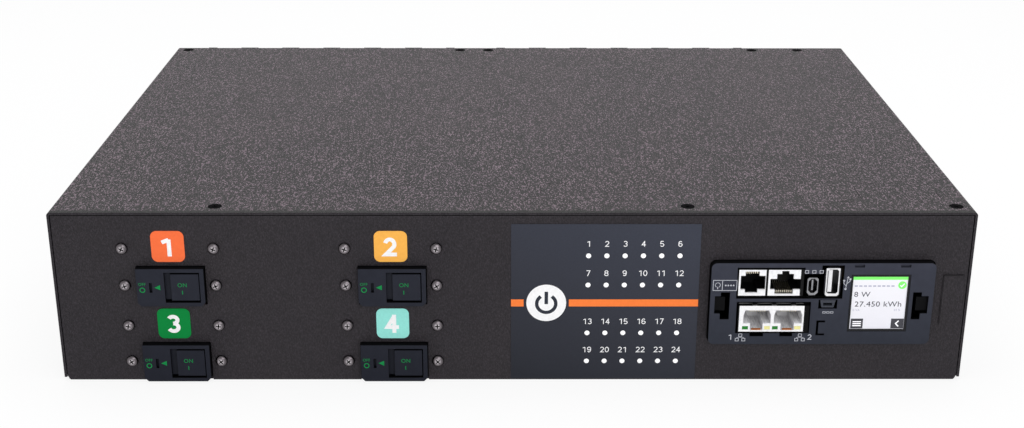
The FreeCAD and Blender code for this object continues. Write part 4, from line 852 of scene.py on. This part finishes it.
def make_display_picture(green, dark, pale, button, white):
    """Green bar with a tick, two readings, small print and two keys."""
    low_corner, high_corner = box_of("display_panel")
    left, right = low_corner.x, high_corner.x
    low, high = low_corner.z, high_corner.z
    top = Print(DISPLAY_FRONT)
    top.box(left, right, high - 1.7, high)
    top.disc(right - 2.5, high - 4.5, 2.0, 32)
    top.finish("screen_status_bar", green)
    tick = Print(DISPLAY_FRONT - PRINT_HEIGHT)
    tick.band([(right - 3.5, high - 4.5), (right - 2.8, high - 5.3), (right - 1.5, high - 3.7)], 0.5)
    tick.finish("screen_tick", white)
    reading = Print(DISPLAY_FRONT)
    reading.words("8 W", left + 4.9, high - 9.3, 2.6, 1.12)
    reading.words("27.450 kWh", left + 12.9, high - 14.4, 2.7, 1.12)
    reading.finish("screen_readings", dark)
    small = Print(DISPLAY_FRONT)
    for step in range(9):
        dash = left + 0.9 + 2.2 * step
        small.box(dash, dash + 1.5, high - 5.3, high - 4.6)
    small.words("0 VA", left + 2.6, high - 17.5, 1.1)
    small.words("44 %", right - 4.0, high - 17.5, 1.1)
    small.finish("screen_small_print", pale)
    keys = Print(DISPLAY_FRONT)
    keys.box(left + 0.5, left + 6.4, low + 0.2, low + 5.4)
    keys.box(right - 6.3, right - 0.1, low + 0.2, low + 5.4)
    keys.finish("screen_keys", button)
    icons = Print(DISPLAY_FRONT - PRINT_HEIGHT)
    for step in range(3):
        bar = low + 1.4 + 1.05 * step
        icons.box(left + 1.4, left + 5.5, bar, bar + 0.55)
    icons.band([(right - 2.6, low + 1.3), (right - 4.0, low + 2.8), (right - 2.6, low + 4.3)], 0.6)
    icons.finish("screen_key_icons", white)


# Screws


def lathe(profile, sides=40):
    """Turn a profile of radius and height about Z, closed at both ends."""
    mesh = bmesh.new()
    rings = []
    for radius, height in profile:
        if radius == 0:
            rings.append([mesh.verts.new((0, 0, height))])
            continue
        rings.append([mesh.verts.new((x, y, height)) for x, y in circle(0, 0, radius, sides)])
    for lower, upper in zip(rings, rings[1:]):
        for step in range(sides):
            following = (step + 1) % sides
            corners = [lower[step % len(lower)], lower[following % len(lower)],
                       upper[following % len(upper)], upper[step % len(upper)]]
            unique = [corner for index, corner in enumerate(corners) if corner not in corners[:index]]
            mesh.faces.new(unique)
    bmesh.ops.recalc_face_normals(mesh, faces=mesh.faces)
    return as_mesh("turned", mesh)


def cross_cutter(reach, width, depth, top):
    """Two tapered blades that cross in the middle, for a cross recess."""
    mesh = bmesh.new()
    over = 1.0
    sizes = [(top - depth, reach * 0.35, width * 0.6), (top + over, reach, width)]
    for turn in (0.0, 90.0):
        spin = Matrix.Rotation(math.radians(turn), 3, "Z")
        ends = []
        for level, length, breadth in sizes:
            corners = [(x * length, y * breadth / 2) for x, y in ((-1, -1), (1, -1), (1, 1), (-1, 1))]
            ends.append([spin @ Vector((x, y, level)) for x, y in corners])
        solid_between(mesh, *ends)
    bmesh.ops.recalc_face_normals(mesh, faces=mesh.faces)
    return as_mesh("cross", mesh)


def recessed_head(profile, reach, width, depth, top):
    """A turned head with a cross recess cut into it."""
    head = bpy.data.objects.new("head", lathe(profile))
    tool = bpy.data.objects.new("tool", cross_cutter(reach, width, depth, top))
    for item in (head, tool):
        bpy.context.scene.collection.objects.link(item)
    cutting = head.modifiers.new("recess", "BOOLEAN")
    cutting.operation = "DIFFERENCE"
    cutting.use_self = True
    cutting.object = tool
    made = bpy.data.meshes.new_from_object(head.evaluated_get(bpy.context.evaluated_depsgraph_get()))
    for item in (head, tool):
        bpy.data.objects.remove(item)
    return made


def place_screws(name, head, places, turned, material, node):
    """One mesh with a head at each place, turned a little differently each time."""
    gathered = bmesh.new()
    for index, place in enumerate(places):
        copy = head.copy()
        spin = Matrix.Rotation(math.radians(17.0 + 47.0 * index), 4, "Z")
        copy.transform(Matrix.Scale(MM, 4) @ Matrix.Translation(place) @ turned @ spin)
        gathered.from_mesh(copy)
        bpy.data.meshes.remove(copy)
    mesh = as_mesh(name, gathered)
    for face in mesh.polygons:
        face.use_smooth = True
    mesh.set_sharp_from_angle(angle=math.radians(35))
    item = new_object(name, mesh, material)
    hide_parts(node)


def make_panel_screws(material):
    """Round heads with cross recesses, on their shanks."""
    radius, rim, steps = 2.9, 0.35, 8
    dome = [(0, -7.0), (1.35, -7.0), (1.35, 0.0), (radius, 0.0)]
    dome += [(u, rim + v) for u, v in oval(0, 0, radius, PANEL_SCREW_RISE - rim, 0, 90, steps)[:-1]]
    dome.append((0, PANEL_SCREW_RISE))
    head = recessed_head(dome, reach=1.7, width=0.72, depth=1.6, top=PANEL_SCREW_RISE)
    places = []
    for column, row in BREAKERS:
        for side in (-1, 1):
            for pole in (0, 1):
                places.append((column + PANEL_SCREW_OFFSET * side, FRONT, row + POLE_PITCH * pole))
    outward = Matrix.Rotation(math.radians(90), 4, "X")
    place_screws("panel_screw_heads", head, places, outward, material, "breaker_screws")


def make_cover_screws(material):
    """Countersunk heads with cross recesses, just below the cover's top."""
    front_inset, rear_inset, drop = 8.8, 5.0, 0.1
    places = [(x, FRONT + front_inset, TOP - drop) for x in FRONT_SCREWS]
    places += [(x, REAR - rear_inset, TOP - drop) for x in REAR_SCREWS]
    profile = [(0, -6.8), (1.5, -6.8), (1.5, -1.1), (2.3, -1.1), (3.35, -0.08), (3.3, 0.0), (0, 0.0)]
    head = recessed_head(profile, reach=1.9, width=0.6, depth=1.3, top=0.0)
    place_screws("cover_screw_heads", head, places, Matrix.Identity(4), material, "cover_screws")


# Small fittings


def make_latch_strips(material):
    """Copper springs on the floor of the two network sockets."""
    outline = [(-157.3, 28.85), (-157.3, 29.45), (-156.9, 29.6), (-156.5, 29.5), (-156.5, 28.85)]
    mesh = bmesh.new()
    for left, right in ((115.4, 119.9), (130.4, 134.9)):
        solid_between(mesh, *[[Vector((x, y, z)) * MM for y, z in outline] for x in (left, right)])
    bmesh.ops.recalc_face_normals(mesh, faces=mesh.faces)
    new_object("latch_strips", as_mesh("latch_strips", mesh), material)


def make_outlet_lips(material):
    """Low lips on the top of the upper outlet banks, at their ends and between the outlets."""
    mesh = bmesh.new()
    for bank in ("outlet_bank_1", "outlet_bank_2"):
        low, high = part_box(bank)
        for step in range(OUTLETS_ACROSS + 1):
            middle = low.x + (high.x - low.x) * step / OUTLETS_ACROSS
            left = max(low.x, middle - LIP_REACH * MM)
            right = min(high.x, middle + LIP_REACH * MM)
            lip = bmesh.ops.create_cube(mesh, size=1.0)["verts"]
            bmesh.ops.scale(mesh, vec=(right - left, LIP_DEPTH * MM, LIP_HEIGHT * MM), verts=lip)
            place = ((left + right) / 2, high.y - LIP_DEPTH * MM / 2, high.z + LIP_HEIGHT * MM / 2)
            bmesh.ops.translate(mesh, vec=place, verts=lip)
    new_object("outlet_lips", as_mesh("outlet_lips", mesh), material)


def make_top_marks(material):
    """Fine dark marks on the cover."""
    marks = [((14.0, -115.2), (13.8, -125.6)), ((17.0, -112.5), (27.2, -112.5)),
             ((168.7, -116.0), (168.9, -134.3)), ((172.0, -112.3), (181.1, -112.3)),
             ((156.0, -138.5), (165.4, -138.5)), ((207.3, -125.6), (207.7, -134.3)),
             ((194.6, -138.5), (204.6, -138.5))]
    half_width, height = 0.22, 0.01
    mesh = bmesh.new()
    for start, end in marks:
        start, end = Vector(start), Vector(end)
        along = (end - start).normalized()
        side = Vector((-along.y, along.x)) * half_width
        corners = [start + side, start - side, end - side, end + side]
        solid_between(mesh, *[[Vector((x, y, z)) * MM for x, y in corners] for z in (TOP, TOP + height)])
    bmesh.ops.recalc_face_normals(mesh, faces=mesh.faces)
    new_object("top_marks", as_mesh("top_marks", mesh), material)


def make_light_rings(material):
    """A printed ring round each light, in the film's own colour."""
    radius, width = LENS_RADIUS + 0.2, 0.42
    rings = Print(LIGHT_FRONT)
    for x, z in LIGHTS:
        rings.band(circle(x, z, radius, 32), width, True)
    rings.finish("light_rings", material)


def make_light_lenses(material):
    """A shallow round lens over each light window."""
    profile = [(0, -0.02), (LENS_RADIUS, -0.02), (LENS_RADIUS, 0.05), (LENS_RADIUS * 0.8, 0.13),
               (LENS_RADIUS * 0.45, 0.18), (0, 0.2)]
    lens = lathe(profile, 32)
    outward = Matrix.Rotation(math.radians(90), 4, "X")
    gathered = bmesh.new()
    for x, z in LIGHTS:
        copy = lens.copy()
        copy.transform(Matrix.Scale(MM, 4) @ Matrix.Translation((x, LIGHT_FRONT, z)) @ outward)
        gathered.from_mesh(copy)
        bpy.data.meshes.remove(copy)
    mesh = as_mesh("light_lenses", gathered)
    for face in mesh.polygons:
        face.use_smooth = True
    new_object("light_lenses", mesh, material)


def make_plate_edge(material):
    """Dark joint along the top and left of the bare end plate."""
    low, high = box_of("badge_plate")
    inset, width = 0.35, 0.3
    left, right, top = low.x + inset, high.x - inset, high.z - inset
    edge = Print(BADGE_FRONT)
    edge.band([(left, low.z + inset), (left, top), (right, top)], width)
    edge.finish("end_plate_edge", material)


# Stage


def seen_directly(tree):
    """1 for what the camera sees straight or in a reflection, 0 for light that falls on the object."""
    path = tree.nodes.new("ShaderNodeLightPath")
    seen = tree.nodes.new("ShaderNodeMath")
    seen.operation = "MAXIMUM"
    tree.links.new(path.outputs["Is Camera Ray"], seen.inputs[0])
    tree.links.new(path.outputs["Is Glossy Ray"], seen.inputs[1])
    return seen.outputs[0]


def make_floor():
    """White ground, which glows for the camera and takes soft shadows."""
    reach, glow_share = 30.0, 0.86
    mesh = bpy.data.meshes.new("floor")
    mesh.from_pydata([(-reach, -reach, 0), (reach, -reach, 0), (reach, reach, 0), (-reach, reach, 0)], [],
                     [(0, 1, 2, 3)])
    floor = bpy.data.objects.new("floor", mesh)
    bpy.context.scene.collection.objects.link(floor)
    material = bpy.data.materials.new("floor_white")
    material.use_nodes = True
    tree = material.node_tree
    tree.nodes.clear()
    diffuse = tree.nodes.new("ShaderNodeBsdfDiffuse")
    diffuse.inputs["Color"].default_value = (0.86, 0.86, 0.87, 1.0)
    glow = tree.nodes.new("ShaderNodeEmission")
    glow.inputs["Strength"].default_value = 1.0
    share = tree.nodes.new("ShaderNodeMath")
    share.operation = "MULTIPLY"
    share.inputs[1].default_value = glow_share
    tree.links.new(seen_directly(tree), share.inputs[0])
    blend = tree.nodes.new("ShaderNodeMixShader")
    for target, source in enumerate((share, diffuse, glow)):
        tree.links.new(source.outputs[0], blend.inputs[target])
    output = tree.nodes.new("ShaderNodeOutputMaterial")
    tree.links.new(blend.outputs[0], output.inputs["Surface"])
    mesh.materials.append(material)


def make_world(ambient):
    """White to the camera and in reflections, softer as light."""
    world = bpy.data.worlds.new("studio")
    bpy.context.scene.world = world
    world.use_nodes = True
    tree = world.node_tree
    background = tree.nodes["Background"]
    background.inputs["Color"].default_value = (1.0, 1.0, 1.0, 1.0)
    level = tree.nodes.new("ShaderNodeMapRange")
    level.inputs["To Min"].default_value = ambient
    level.inputs["To Max"].default_value = 1.0
    tree.links.new(seen_directly(tree), level.inputs["Value"])
    tree.links.new(level.outputs["Result"], background.inputs["Strength"])


def make_lamp(name, place, aim, width, depth, power):
    light = bpy.data.lights.new(name, "AREA")
    light.shape = "RECTANGLE"
    light.size = width
    light.size_y = depth
    light.energy = power
    item = bpy.data.objects.new(name, light)
    bpy.context.scene.collection.objects.link(item)
    item.location = place
    item.rotation_euler = (Vector(aim) - Vector(place)).to_track_quat("-Z", "Y").to_euler()


def make_camera():
    camera = bpy.data.cameras.new("camera")
    camera.sensor_width = SENSOR_WIDTH
    camera.sensor_fit = "HORIZONTAL"
    camera.lens = FOCAL_PIXELS * SENSOR_WIDTH / PICTURE_WIDTH
    item = bpy.data.objects.new("camera", camera)
    bpy.context.scene.collection.objects.link(item)
    item.location = CAMERA_PLACE
    tilt = Matrix.Rotation(math.radians(90.0 - CAMERA_LOOKS_DOWN), 3, "X")
    turn = Matrix.Rotation(math.radians(-CAMERA_LOOKS_RIGHT), 3, "Z")
    roll = Matrix.Rotation(math.radians(CAMERA_ROLL), 3, "Z")
    item.rotation_euler = (turn @ tilt @ roll).to_euler()
    bpy.context.scene.camera = item


bpy.context.scene.view_settings.view_transform = "Standard"
make_camera()
make_floor()
make_world(ambient=0.5)
make_lamp("overhead", place=(0.0, 0.1, 1.6), aim=(0.0, 0.0, 0.0), width=2.0, depth=1.6, power=22.0)
make_lamp("front_fill", place=(0.5, -1.6, 0.9), aim=(0.0, -0.1, 0.05), width=1.2, depth=0.9, power=10.0)

dress_front()
dress_module()
dress_rear_and_inside()

white_ink = printed("white_ink", linear(250, 250, 251))
make_label_digits(white_ink)
make_breaker_print(printed("green_ink", linear(18, 136, 70)))
make_status_print(
    white_ink,
    printed("orange_ink", linear(255, 131, 62), 0.45),
    printed("slate_ink", linear(48, 52, 62), 0.45))
make_module_print(printed("grey_ink", linear(190, 192, 200)))
make_display_picture(
    printed("screen_green", linear(126, 236, 110), 0.3, 0.25),
    printed("screen_dark", linear(62, 63, 74), 0.3),
    printed("screen_grey", linear(176, 177, 196), 0.3, 0.1),
    printed("screen_button", linear(74, 74, 80), 0.3),
    printed("screen_white", linear(246, 246, 250), 0.3, 0.25))
make_panel_screws(head_metal())
make_cover_screws(nodes["cover_screws"].data.materials[0])
make_outlet_lips(nodes["outlet_bank_1"].data.materials[0])
make_latch_strips(metal("strip_copper", linear(176, 104, 48), 0.35))
make_top_marks(printed("score_dark", linear(30, 28, 30), 0.6))
make_light_rings(nodes["status_overlay"].data.materials[0])
make_light_lenses(printed("lens_white", linear(250, 250, 251), 0.25, 0.2))
make_plate_edge(printed("edge_dark", linear(22, 21, 23), 0.5))
